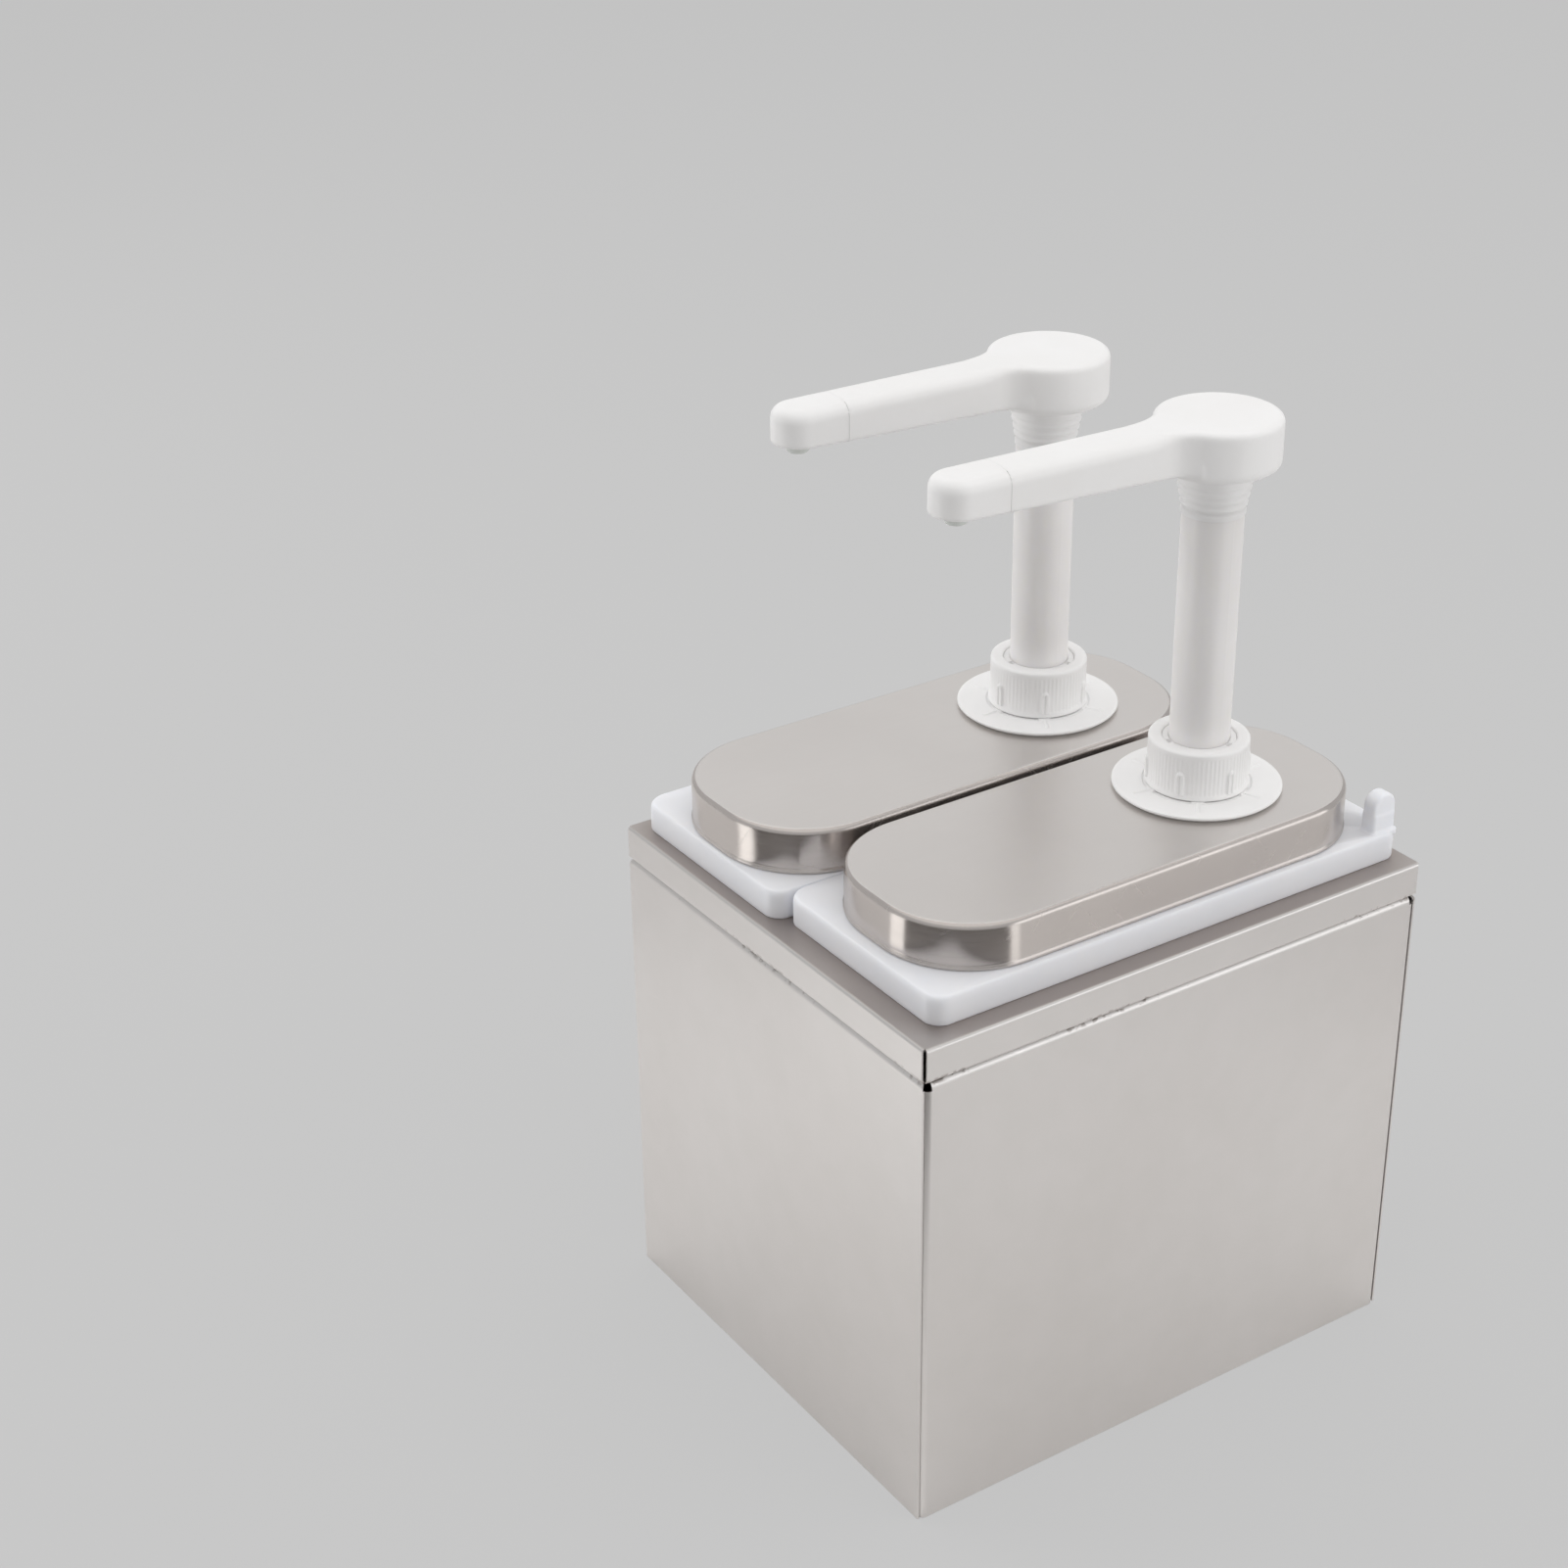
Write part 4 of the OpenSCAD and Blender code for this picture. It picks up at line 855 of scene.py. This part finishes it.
def jar_outline():
    """The jar's section, from under its floor round the rim to the floor's inside: w, l, corner, z."""
    wall, under = JAR_WALL, RIM_TOP - RIM_WALL
    tight, small, rim_foot, collar_foot, rim_edge = 0.8, 1.0, 1.2, 1.5, RIM_EDGE * 1.3
    floor = (JAR_W - JAR_FLOOR_IN, JAR_L - JAR_FLOOR_IN, JAR_FLOOR_CORNER)
    inner_floor = (JAR_W - JAR_HOLLOW_IN, JAR_L - JAR_HOLLOW_IN, JAR_HOLLOW_CORNER)
    body = (JAR_W, JAR_L, JAR_CORNER)
    hollow = (JAR_W - 2 * wall, JAR_L - 2 * wall, JAR_CORNER - wall)
    rim_in = (RIM_W - 2 * RIM_WALL, RIM_L - 2 * RIM_WALL, RIM_CORNER - RIM_WALL)
    rim = (RIM_W, RIM_L, RIM_CORNER)
    corners = [
        (floor + (JAR_LOW,), 0),
        (body + (JAR_LOW,), JAR_FOOT),
        (body + (under,), small),
        (rim_in + (under,), tight),
        (rim_in + (CABINET_TOP,), tight),
        (rim + (CABINET_TOP,), rim_foot),
        (rim + (RIM_TOP,), rim_edge),
        (body + (RIM_TOP,), collar_foot),
        (body + (JAR_COLLAR_TOP,), small),
        (hollow + (JAR_COLLAR_TOP,), small),
        (hollow + (JAR_LOW + wall,), JAR_FOOT),
        (inner_floor + (JAR_LOW + wall,), 0),
    ]
    return rounded(corners, steps=5, closed=False)


def lug_field(x, y, z):
    """Distance to a flat tab with a round top, a slight step and a flared root."""
    half = LUG_L / 2
    rise = z - (LUG_H - half)
    shape = np.where(rise > 0, np.hypot(y, rise), np.abs(y)) - half
    thick = LUG_T / 2 - LUG_STEP_IN * ramps(z - LUG_STEP_Z, LUG_STEP_H)
    flat = np.abs(x) - thick
    outside = np.hypot(np.maximum(shape + LUG_EDGE, 0), np.maximum(flat + LUG_EDGE, 0))
    tab = outside + np.minimum(np.maximum(shape, flat) + LUG_EDGE, 0) - LUG_EDGE
    flare = LUG_ROOT * np.clip(1 - z / LUG_ROOT, 0, 1) ** 2
    return np.maximum(tab - flare, -z - LUG_DEEP)


def joined(one, two):
    """Fuses the mesh of a second object into the first and removes the second."""
    cut = one.modifiers.new("joined", "BOOLEAN")
    cut.operation = "UNION"
    cut.solver = "EXACT"
    cut.object = two
    shown = one.evaluated_get(bpy.context.evaluated_depsgraph_get())
    mesh = bpy.data.meshes.new_from_object(shown)
    one.modifiers.clear()
    old = one.data
    one.data = mesh
    mesh.name = one.name
    bpy.data.meshes.remove(old)
    bpy.data.objects.remove(two)


def make_lug(side):
    """The jar's lifting lug, on a corner of its rim."""
    points, faces = skinned(lug_field, *LUG_SPACE, FINE_GRID)
    corner = JAR_AT[side] + Vector((
        RIM_W / 2 - LUG_INSET - LUG_T / 2, RIM_L / 2 - LUG_INSET - LUG_L / 2, RIM_TOP
    ))
    mesh = smooth_mesh("lug", moved(points, corner), faces)
    mesh.materials.append(MATERIALS["jar"])
    return new_object("lug", mesh)


def make_jar(side):
    """A milky jar with a hollow rim and a lifting lug."""
    rings = [plan_ring(*level, per_corner=12, per_side=10) for level in jar_outline()]
    points, faces = lofted(rings, closed=False)
    jar = piece(
        f"{side}_moulded_jar", moved(points, JAR_AT[side]), faces, [MATERIALS["jar"]],
        f"{side}_jar_unit", f"{side}_jar", crease=35,
    )
    joined(jar, make_lug(side))


def thread(r, z, a, root, low, high):
    """The radius of a surface with a helical ridge between two heights."""
    if r < root + HAIR or not low < z < high:
        return r
    turn = (z - THREAD_PITCH * a / math.tau) / THREAD_PITCH % 1.0
    ridge = ramp(abs(turn - 0.5) * 2 - THREAD_GAP, THREAD_FLANK)
    fade = min(1.0, (z - low) / THREAD_FADE, (high - z) / THREAD_FADE)
    return r - THREAD_DEPTH * (1 - ridge) * fade


def disc_relief(r, a):
    """How far ribs and bridges rise from the disc's face at a place, and how deep its groove is."""
    soft, edge = 0.4, 0.3
    half_part = 180 / FOOT_PARTS
    part = (math.degrees(a) + half_part) % (2 * half_part) - half_part
    off = r * math.sin(math.radians(abs(part)))
    clear = ramp(off - FOOT_BRIDGE_W / 2, soft)
    in_groove = ramp(FOOT_GROOVE_W / 2 + edge / 2 - abs(r - FOOT_GROOVE_R), edge)
    in_bridge = ramp(FOOT_GROOVE_R + FOOT_GROOVE_W / 2 - r, edge)
    in_rib = ramp(FOOT_RIB_W / 2 + edge / 2 - off, edge)
    along = ramp(min(r - FOOT_GROOVE_R, FOOT_RIB_END - r), soft)
    rise = FOOT_RIB_H * max((1 - clear) * in_bridge, in_rib * along)
    return rise, FOOT_GROOVE_DEPTH * in_groove * clear


def foot_shape(r, z, a):
    """Shapes the foot's plain outline: threads on neck and stub, ribs and grooves on the disc."""
    root, neck_start = 0.2, 3
    if z > DISC_TOP + root:
        return thread(r, z, a, NECK_R - root, DISC_TOP + neck_start, NECK_TOP - THREAD_INSET), z
    if z < STUB_HIGH:
        return thread(r, z, a, STUB_R - root, STUB_LOW + THREAD_INSET, STUB_THREAD_TOP), z
    if z > DISC_TOP - HAIR and NECK_R < r < DISC_R - 1:
        rise, sink = disc_relief(r, a)
        return r, z + rise - sink
    return r, z


def make_pump_foot(side):
    """The pump's round foot: a ribbed disc with a threaded neck above and a threaded stub below."""
    bevel, step, thread_step = 0.3, 0.25, 0.35
    face_r = DISC_R - DISC_EDGE
    rim = [(DISC_R - DISC_UNDER_IN, DISC_LOW)]
    rim += [(DISC_R - inset, DISC_TOP - drop) for inset, drop in DISC_RIM]
    top = [(face_r - step * k, DISC_TOP) for k in range(int((face_r - NECK_R) / step))]
    neck = [(NECK_R, DISC_TOP + bevel), (NECK_R, NECK_TOP - bevel)]
    bore = [(NECK_R - bevel, NECK_TOP), (FOOT_BORE_R, NECK_TOP), (FOOT_BORE_R, STUB_LOW)]
    stub = [(STUB_R - bevel, STUB_LOW), (STUB_R, STUB_LOW + bevel), (STUB_R, DISC_LOW)]
    neck, stub = (divided(line, thread_step, closed=False) for line in (neck, stub))
    points, faces = turned(rim + top + neck + bore + stub, steps=512, shape=foot_shape)
    white_piece(side, "ribbed_foot", points, faces, FOOT_TURNS[side], "lid_unit", "pump_foot")


def cap_shape(r, z, a):
    """Shapes the cap's plain outline: faint flutes, and arched grip ribs that are hollow inside."""
    skin, overlap, rib_side, hollow_side = 0.3, 0.6, 0.35, 0.4
    if r < CAP_SKIRT_R - skin or z > CAP_TOP - CAP_BAND or z < CAP_LOW + CAP_FLARE_H - overlap:
        return r, z
    groove = CAP_FLUTE_DEPTH * (0.5 - 0.5 * math.cos(a * CAP_FLUTES))
    share = (a * CAP_RIBS / math.tau + 0.5) % 1.0 - 0.5
    off = abs(share) * math.tau / CAP_RIBS * CAP_R
    up = z - (CAP_LOW + CAP_RIB_TOP_SHARE * (CAP_TOP - CAP_LOW) - CAP_RIB_W / 2)
    span = math.hypot(off, up) if up > 0 else off
    rib = ramp(CAP_RIB_W / 2 - span, rib_side)
    hollow = CAP_RIB_HOLLOW * ramp(CAP_RIB_W / 2 - CAP_RIB_FRAME - span, hollow_side)
    rise = CAP_R - CAP_SKIRT_R - CAP_RIB_SUNK
    return r - groove * (1 - rib) + rise * (rib - hollow), z


def make_screw_cap(side):
    """A screw cap: faint upright flutes, a flared foot and arched grip ribs."""
    flare_r, hole_r = CAP_R - CAP_FLARE_IN, BUSH_COLLAR_R + CAP_BUSH_GAP
    under = CAP_TOP - CAP_ROOF
    corners = [
        ((CAP_BORE_R, CAP_LOW), 0.3), ((flare_r, CAP_LOW), 0.3), ((flare_r, CAP_LOW + CAP_FLARE_LIP), 0.5),
        ((CAP_SKIRT_R, CAP_LOW + CAP_FLARE_H), 0.7), ((CAP_SKIRT_R, CAP_TOP), 1.3),
        ((hole_r, CAP_TOP), 0.9), ((hole_r, under), 0.1), ((CAP_BORE_R, under), 0.3),
    ]
    profile = divided(rounded(corners, steps=4), longest=0.5)
    points, faces = turned(profile, steps=864, shape=cap_shape)
    white_piece(side, "ribbed_cap", points, faces, CAP_TURNS[side], "cap_unit", "screw_cap")


BUSH_TOP = CAP_TOP - CAP_ROOF / 3


def bush_shape(r, z, a):
    """Sinks the notches into the bush's upper face."""
    share = math.tau / BUSH_NOTCHES
    turn = (a + share / 2) % share - share / 2
    depth, inner_rim, outer_rim = 0.8, 0.5, 0.3
    on_face = z > BUSH_TOP - depth and BUSH_BORE_R + inner_rim < r < BUSH_COLLAR_R - outer_rim
    if on_face and abs(r * math.sin(turn)) < BUSH_NOTCH_W / 2:
        return r, z - BUSH_NOTCH_DEPTH
    return r, z


def make_guide_bush(side):
    """The collar that guides the stem, with three notches in its upper face."""
    low = NECK_TOP - BUSH_TUBE_L
    flange_low, flange_top = NECK_TOP + BUSH_FLANGE_LOW, NECK_TOP + BUSH_FLANGE_TOP
    corners = [
        ((BUSH_BORE_R, low), 0.3), ((BUSH_TUBE_R, low), 0.6), ((BUSH_TUBE_R, flange_low), 0.1),
        ((NECK_R, flange_low), 0.3), ((NECK_R, flange_top), 0.3), ((BUSH_COLLAR_R, flange_top), 0.2),
        ((BUSH_COLLAR_R, BUSH_TOP), 0.3), ((BUSH_BORE_R, BUSH_TOP), 0.4),
    ]
    profile = divided(rounded(corners, steps=3), longest=0.5)
    points, faces = turned(profile, steps=360, shape=bush_shape)
    white_piece(side, "stem_guide", points, faces, BUSH_TURNS[side], "pump_unit", "guide_bush")


def make_neck_sleeve(side):
    """The stepped sleeve under the head, with its ring grooves."""
    height = HEAD_LOW - SLEEVE_LOW
    step = height / (SLEEVE_RINGS + 2)
    groove = step / 4
    cone = (SLEEVE_R - STEM_R) / (SLEEVE_RINGS + 1)
    bore, top = STEM_R + FIT_GAP, HEAD_LOW - FIT_GAP
    outline = [(bore, SLEEVE_LOW), (bore, top), (SLEEVE_R, top)]
    for i in range(SLEEVE_RINGS):
        r = SLEEVE_R - (i + 0.5) * cone
        level = HEAD_LOW - height / 3 - i * step
        outline += [
            (r, level + groove), (r - groove, level), (r - groove, level - groove),
            (r - groove / 2, level - 2 * groove),
        ]
    outline.append((STEM_R + groove / 2, SLEEVE_LOW))
    profile = divided(soften(outline, radius=0.25, steps=3), longest=0.8)
    points, faces = turned(profile, steps=160)
    turn = SPOUT_TURNS[side]
    white_piece(side, "ringed_sleeve", points, faces, turn, "spout_unit", "neck_sleeve", crease=50)


def rounded_slab(flat, low, high, z, edge_low, edge_high):
    """Distance to a plan shape of distance `flat` raised from low to high, its edges round."""
    centre, half = (low + high) / 2, (high - low) / 2
    edge = np.where(z > centre, edge_high, edge_low)
    up = np.abs(z - centre) - half
    outside = np.hypot(np.maximum(flat + edge, 0), np.maximum(up + edge, 0))
    return outside + np.minimum(np.maximum(flat, up) + edge, 0) - edge


def arm_low(y):
    """The height of the arm's underside, which rises towards the nozzle."""
    share = np.clip((-y - HEAD_R) / (REACH - HEAD_R), *ARM_SHARES)
    return HEAD_TOP - (ARM_ROOT_H + (ARM_TIP_H - ARM_ROOT_H) * share)


def fillet_plan(x, y):
    """Distance in plan to the hollow fillets between the round head and the arm."""
    centre_x = ARM_W / 2 + ARM_FILLET_R
    centre_y = math.sqrt((HEAD_R + ARM_FILLET_R) ** 2 - centre_x ** 2)
    hollow = ARM_FILLET_R - np.hypot(np.abs(x) - centre_x, y + centre_y)
    share = HEAD_R / (HEAD_R + ARM_FILLET_R)
    box = np.maximum(np.maximum(y, -centre_y - y), np.abs(x) - centre_x * share)
    return np.maximum(hollow, box)


def head_field(x, y, z):
    """Distance to the round head with its arm, in the spout's own frame."""
    puck = rounded_slab(np.hypot(x, y) - HEAD_R, HEAD_LOW, HEAD_TOP, z, HEAD_EDGE_LOW, HEAD_EDGE_TOP)
    plan = np.minimum(np.maximum(np.abs(x) - ARM_W / 2, y), fillet_plan(x, y))
    mixing = ramps(-y - HEAD_R + ARM_EDGE_START, ARM_EDGE_L)
    edge = HEAD_EDGE_TOP + (ARM_EDGE_TOP - HEAD_EDGE_TOP) * mixing * mixing * (3 - 2 * mixing)
    arm = rounded_slab(plan, arm_low(y), HEAD_TOP, z, ARM_EDGE_LOW, edge)
    arm = np.maximum(arm, -y - SEAM)
    soft = HEAD_JOIN * ramps(HEAD_TOP - HEAD_JOIN_DROP - z, HEAD_JOIN_H) + 1e-6
    share = np.clip(0.5 + 0.5 * (arm - puck) / soft, 0, 1)
    body = arm + (puck - arm) * share - soft * share * (1 - share)
    socket = np.maximum(np.hypot(x, y) - STEM_R - FIT_GAP, z - HEAD_LOW - HEAD_SOCKET_H)
    return np.maximum(body, -socket)


def cap_field(x, y, z):
    """Distance to the half-round end of the arm, with its hole for the nozzle."""
    end = np.where(y < -REACH, np.hypot(x, y + REACH), np.abs(x)) - ARM_W / 2
    body = rounded_slab(end, arm_low(y), HEAD_TOP, z, ARM_EDGE_LOW, ARM_EDGE_TOP)
    body = np.maximum(body, y + SEAM + SEAM_GAP)
    hole = np.maximum(np.hypot(x, y + REACH) - NOZZLE_HOLE_R, z - HEAD_TOP + NOZZLE_HOLE_ROOF)
    return np.maximum(body, -hole)


def make_head(side):
    """The round head with the arm up to its seam."""
    margin = GRID_MARGIN
    low = (-HEAD_R - margin, -SEAM - margin, HEAD_LOW - margin)
    high = (HEAD_R + margin, HEAD_R + margin, HEAD_TOP + margin)
    points, faces = skinned(head_field, low, high, COARSE_GRID)
    white_piece(side, "moulded_head", points, faces, SPOUT_TURNS[side], "spout_unit", "spout_head")


def make_arm_end(side):
    """The half-round end of the arm."""
    margin, depth = GRID_MARGIN, 18
    low = (-ARM_W / 2 - margin, -REACH - ARM_W / 2 - margin, HEAD_TOP - depth)
    high = (ARM_W / 2 + margin, -SEAM + margin, HEAD_TOP + margin)
    points, faces = skinned(cap_field, low, high, FINE_GRID)
    white_piece(side, "arm_end", points, faces, SPOUT_TURNS[side], "spout_unit", "end_cap")


def make_nozzle(side):
    """The small ring under the arm's end, with its neck inside the arm."""
    face = float(arm_low(-REACH)) - NOZZLE_DROP
    mouth, neck_top = face - NOZZLE_H, face + NOZZLE_NECK_H
    corners = [
        ((NOZZLE_BORE_R, mouth), 0.4), ((NOZZLE_MOUTH_R, mouth), 0.6), ((NOZZLE_R, face), 0.5),
        ((NOZZLE_NECK_R, face), 0.1), ((NOZZLE_NECK_R, neck_top), 0.2), ((NOZZLE_BORE_R, neck_top), 0.2),
    ]
    points, faces = turned(rounded(corners, steps=4), steps=96)
    points = moved(moved(points, (0, -REACH, 0)), PUMP_AT[side], SPOUT_TURNS[side])
    piece(
        f"{side}_nozzle_ring", points, faces, [MATERIALS["nozzle"]],
        f"{side}_spout_unit", f"{side}_nozzle", crease=50,
    )


def make_spring(side):
    """The return spring: one unbroken coil."""
    per_turn, sides = 24, 10
    steps = per_turn * SPRING_TURNS
    low, high = SPRING_LOW + WIRE_R + SPRING_END_GAP, SPRING_HIGH - WIRE_R - SPRING_END_GAP
    rings = []
    for i in range(steps + 1):
        a = math.tau * i / per_turn
        z = low + (high - low) * i / steps
        ring = []
        for j in range(sides):
            b = math.tau * j / sides
            r = SPRING_R + WIRE_R * math.cos(b)
            ring.append((r * math.cos(a), r * math.sin(a), z + WIRE_R * math.sin(b)))
        rings.append(ring)
    points, faces = lofted(rings, closed=False)
    spring = piece(
        f"{side}_coil_spring", moved(points, PUMP_AT[side]), faces, [MATERIALS["bright"]],
        f"{side}_pump_unit", f"{side}_spring", crease=60,
    )
    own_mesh(spring)


NODE_LOOKS = {
    "chamber": "stem", "dip_tube": "stem", "stem": "stem", "spring_seat": "white", "back_nut": "white",
    "piston": "white", "ball_stop": "white", "piston_seal": "rubber", "sealing_ring": "rubber",
    "inlet_ball": "bright", "outlet_ball": "bright",
}


def dress_nodes():
    """Gives the CAD nodes that stay in view their finishes."""
    for name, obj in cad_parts.items():
        look = NODE_LOOKS.get(name.partition("_")[2], "sheet")
        for slot in obj.material_slots:
            slot.material = MATERIALS[look]


# Stage, camera and light

def emptied_tree(owner):
    """The shader nodes of a material or world, all removed."""
    owner.use_nodes = True
    owner.node_tree.nodes.clear()
    return owner.node_tree


def seen_rays(tree):
    """1 for rays that show a thing: from the camera, mirrored or passed through."""
    path = add(tree, "ShaderNodeLightPath")
    seen = maths(tree, "MAXIMUM", path.outputs["Is Camera Ray"], path.outputs["Is Glossy Ray"])
    return maths(tree, "MAXIMUM", seen, path.outputs["Is Transmission Ray"])


def mix_to_output(tree, share, one, two, output):
    """Mixes two shaders into an output node."""
    mix = add(tree, "ShaderNodeMixShader")
    tree.links.new(share, mix.inputs[0])
    tree.links.new(one.outputs[0], mix.inputs[1])
    tree.links.new(two.outputs[0], mix.inputs[2])
    tree.links.new(mix.outputs[0], add(tree, output).inputs[0])


def make_floor():
    """A pale floor, mostly of one plain colour to the camera and to metal."""
    angles = [math.tau * k / FLOOR_STEPS for k in range(FLOOR_STEPS)]
    ring = [(FLOOR_R * math.cos(a), FLOOR_R * math.sin(a), -FLOOR_DROP) for a in angles]
    mesh = bpy.data.meshes.new("floor")
    mesh.from_pydata(ring, [], [tuple(range(FLOOR_STEPS))])
    floor = new_object("floor", mesh)
    material = bpy.data.materials.new("pale_floor")
    tree = emptied_tree(material)
    matt = add(tree, "ShaderNodeBsdfDiffuse", Color=FLOOR_GREY)
    plain = add(tree, "ShaderNodeEmission", Color=FLOOR_GREY, Strength=1.0)
    share = maths(tree, "MULTIPLY", seen_rays(tree), FLOOR_SEEN)
    mix_to_output(tree, share, matt, plain, "ShaderNodeOutputMaterial")
    mesh.materials.append(material)


def make_sky():
    """A sky that looks like the floor and lights the object softly."""
    world = bpy.data.worlds.new("studio")
    bpy.context.scene.world = world
    tree = emptied_tree(world)
    plain = add(tree, "ShaderNodeBackground", Color=FLOOR_GREY, Strength=1.0)
    light = add(tree, "ShaderNodeBackground", Color=SKY_LIGHT, Strength=SKY_GLOW)
    mix_to_output(tree, seen_rays(tree), light, plain, "ShaderNodeOutputWorld")


def add_lamp(name, place_at, size, glow, color=(1, 1, 1), mirrored=True):
    """A soft box that the camera doesn't see. `glow` is its brightness, where white is 1."""
    lamp = bpy.data.lights.new(name, "AREA")
    lamp.shape = "RECTANGLE"
    lamp.size, lamp.size_y = size
    lamp.energy = glow * math.pi * size[0] * size[1]
    lamp.color = color
    obj = new_object(name, lamp)
    obj.location = place_at
    away = Vector(place_at) - Vector(AIM)
    obj.rotation_euler = away.to_track_quat("Z", "Y").to_euler()
    obj.visible_camera = False
    obj.visible_glossy = mirrored


def make_lamps():
    """Soft boxes overhead, behind and low at both sides. Metal mirrors only the rear and sheen ones."""
    add_lamp("overhead_box", (0.1, 0.1, 2.2), size=(3.0, 3.0), glow=0.92, mirrored=False)
    add_lamp("rear_box", (-2.0, 1.4, 1.5), size=(3.4, 1.8), glow=0.16, color=(1.0, 0.985, 0.975))
    add_lamp("left_box", LOW_LEFT, LOW_BOX, glow=2.0, mirrored=False)
    add_lamp("left_sheen", LOW_LEFT, LOW_BOX, glow=1.8)
    add_lamp("right_sheen", LOW_RIGHT, LOW_BOX, glow=1.05)
    add_lamp("right_box", LOW_RIGHT, LOW_BOX, glow=1.2, color=(1.0, 0.98, 0.96), mirrored=False)


def card_mesh(name, radii, angles, height):
    """A flat ring or part of one."""
    start, end = (math.radians(a) for a in angles)
    points = []
    for radius in radii:
        for k in range(CARD_STEPS + 1):
            a = start + (end - start) * k / CARD_STEPS
            points.append((radius * math.cos(a), radius * math.sin(a), height))
    row = CARD_STEPS + 1
    mesh = bpy.data.meshes.new(name)
    mesh.from_pydata(points, [], [(k, row + k, row + k + 1, k + 1) for k in range(CARD_STEPS)])
    return mesh


def add_card(name, color, radii, angles, height, glow=0.0):
    """A flat card, lit or glowing, that only polished and satin metal mirrors."""
    mesh = card_mesh(name, radii, angles, height)
    card = new_object(name, mesh)
    material = new_material(
        name,
        Base_Color=BLACK if glow > 0 else color,
        Roughness=CARD_ROUGH,
        Specular_IOR_Level=0.0,
        Emission_Color=color,
        Emission_Strength=glow,
    )[0]
    mesh.materials.append(material)
    card.visible_camera = False
    card.visible_diffuse = False
    card.visible_shadow = False
    card.visible_transmission = False


def make_cards():
    """Cards that metal mirrors: pale ones and a dark one at the foot, two lit strips, one overhead."""
    outer = (CARD_INNER, CARD_OUTER)
    add_card("white_card", CARD_WHITE, radii=(0.05, 0.42), angles=ALL_ROUND, height=0.0001)
    add_card("pale_card", CARD_PALE, radii=(0.42, 1.6), angles=ALL_ROUND, height=-0.0001)
    add_card("black_card", CARD_BLACK, radii=outer, angles=(-98, 4), height=0.0002)
    add_card("left_strip", SHEEN, radii=outer, angles=(-116, -99), height=0.0003, glow=1.6)
    add_card("right_strip", SHEEN, radii=outer, angles=(5, 14), height=0.0003, glow=1.3)
    add_card("overhead_card", SHEEN, radii=(0.0, 1.9), angles=ALL_ROUND, height=2.25, glow=0.95)


def make_camera():
    """The camera that was fitted to the photo."""
    back = Vector((
        math.sin(CAMERA_TURN) * math.cos(CAMERA_RISE),
        -math.cos(CAMERA_TURN) * math.cos(CAMERA_RISE),
        math.sin(CAMERA_RISE),
    ))
    right = Vector((0, 0, 1)).cross(back).normalized()
    up = back.cross(right)
    c, s = math.cos(CAMERA_ROLL), math.sin(CAMERA_ROLL)
    right, up = c * right + s * up, c * up - s * right
    data = bpy.data.cameras.new("camera")
    data.lens = CAMERA_LENS
    data.sensor_width = CAMERA_SENSOR
    data.sensor_fit = "HORIZONTAL"
    data.clip_start, data.clip_end = CAMERA_CLIP
    camera = new_object("camera", data)
    turn = Matrix((right, up, back)).transposed().to_4x4()
    camera.matrix_world = Matrix.Translation(CAMERA_PLACE) @ turn
    bpy.context.scene.camera = camera


make_camera()
make_floor()
make_sky()
make_lamps()
make_cards()
dress_nodes()
for side in SIDES:
    make_jar(side)
    make_lid(side)
    make_pump_foot(side)
    make_screw_cap(side)
    make_guide_bush(side)
    make_neck_sleeve(side)
    make_head(side)
    make_arm_end(side)
    make_nozzle(side)
    make_spring(side)

bpy.context.scene.view_settings.view_transform = "Standard"
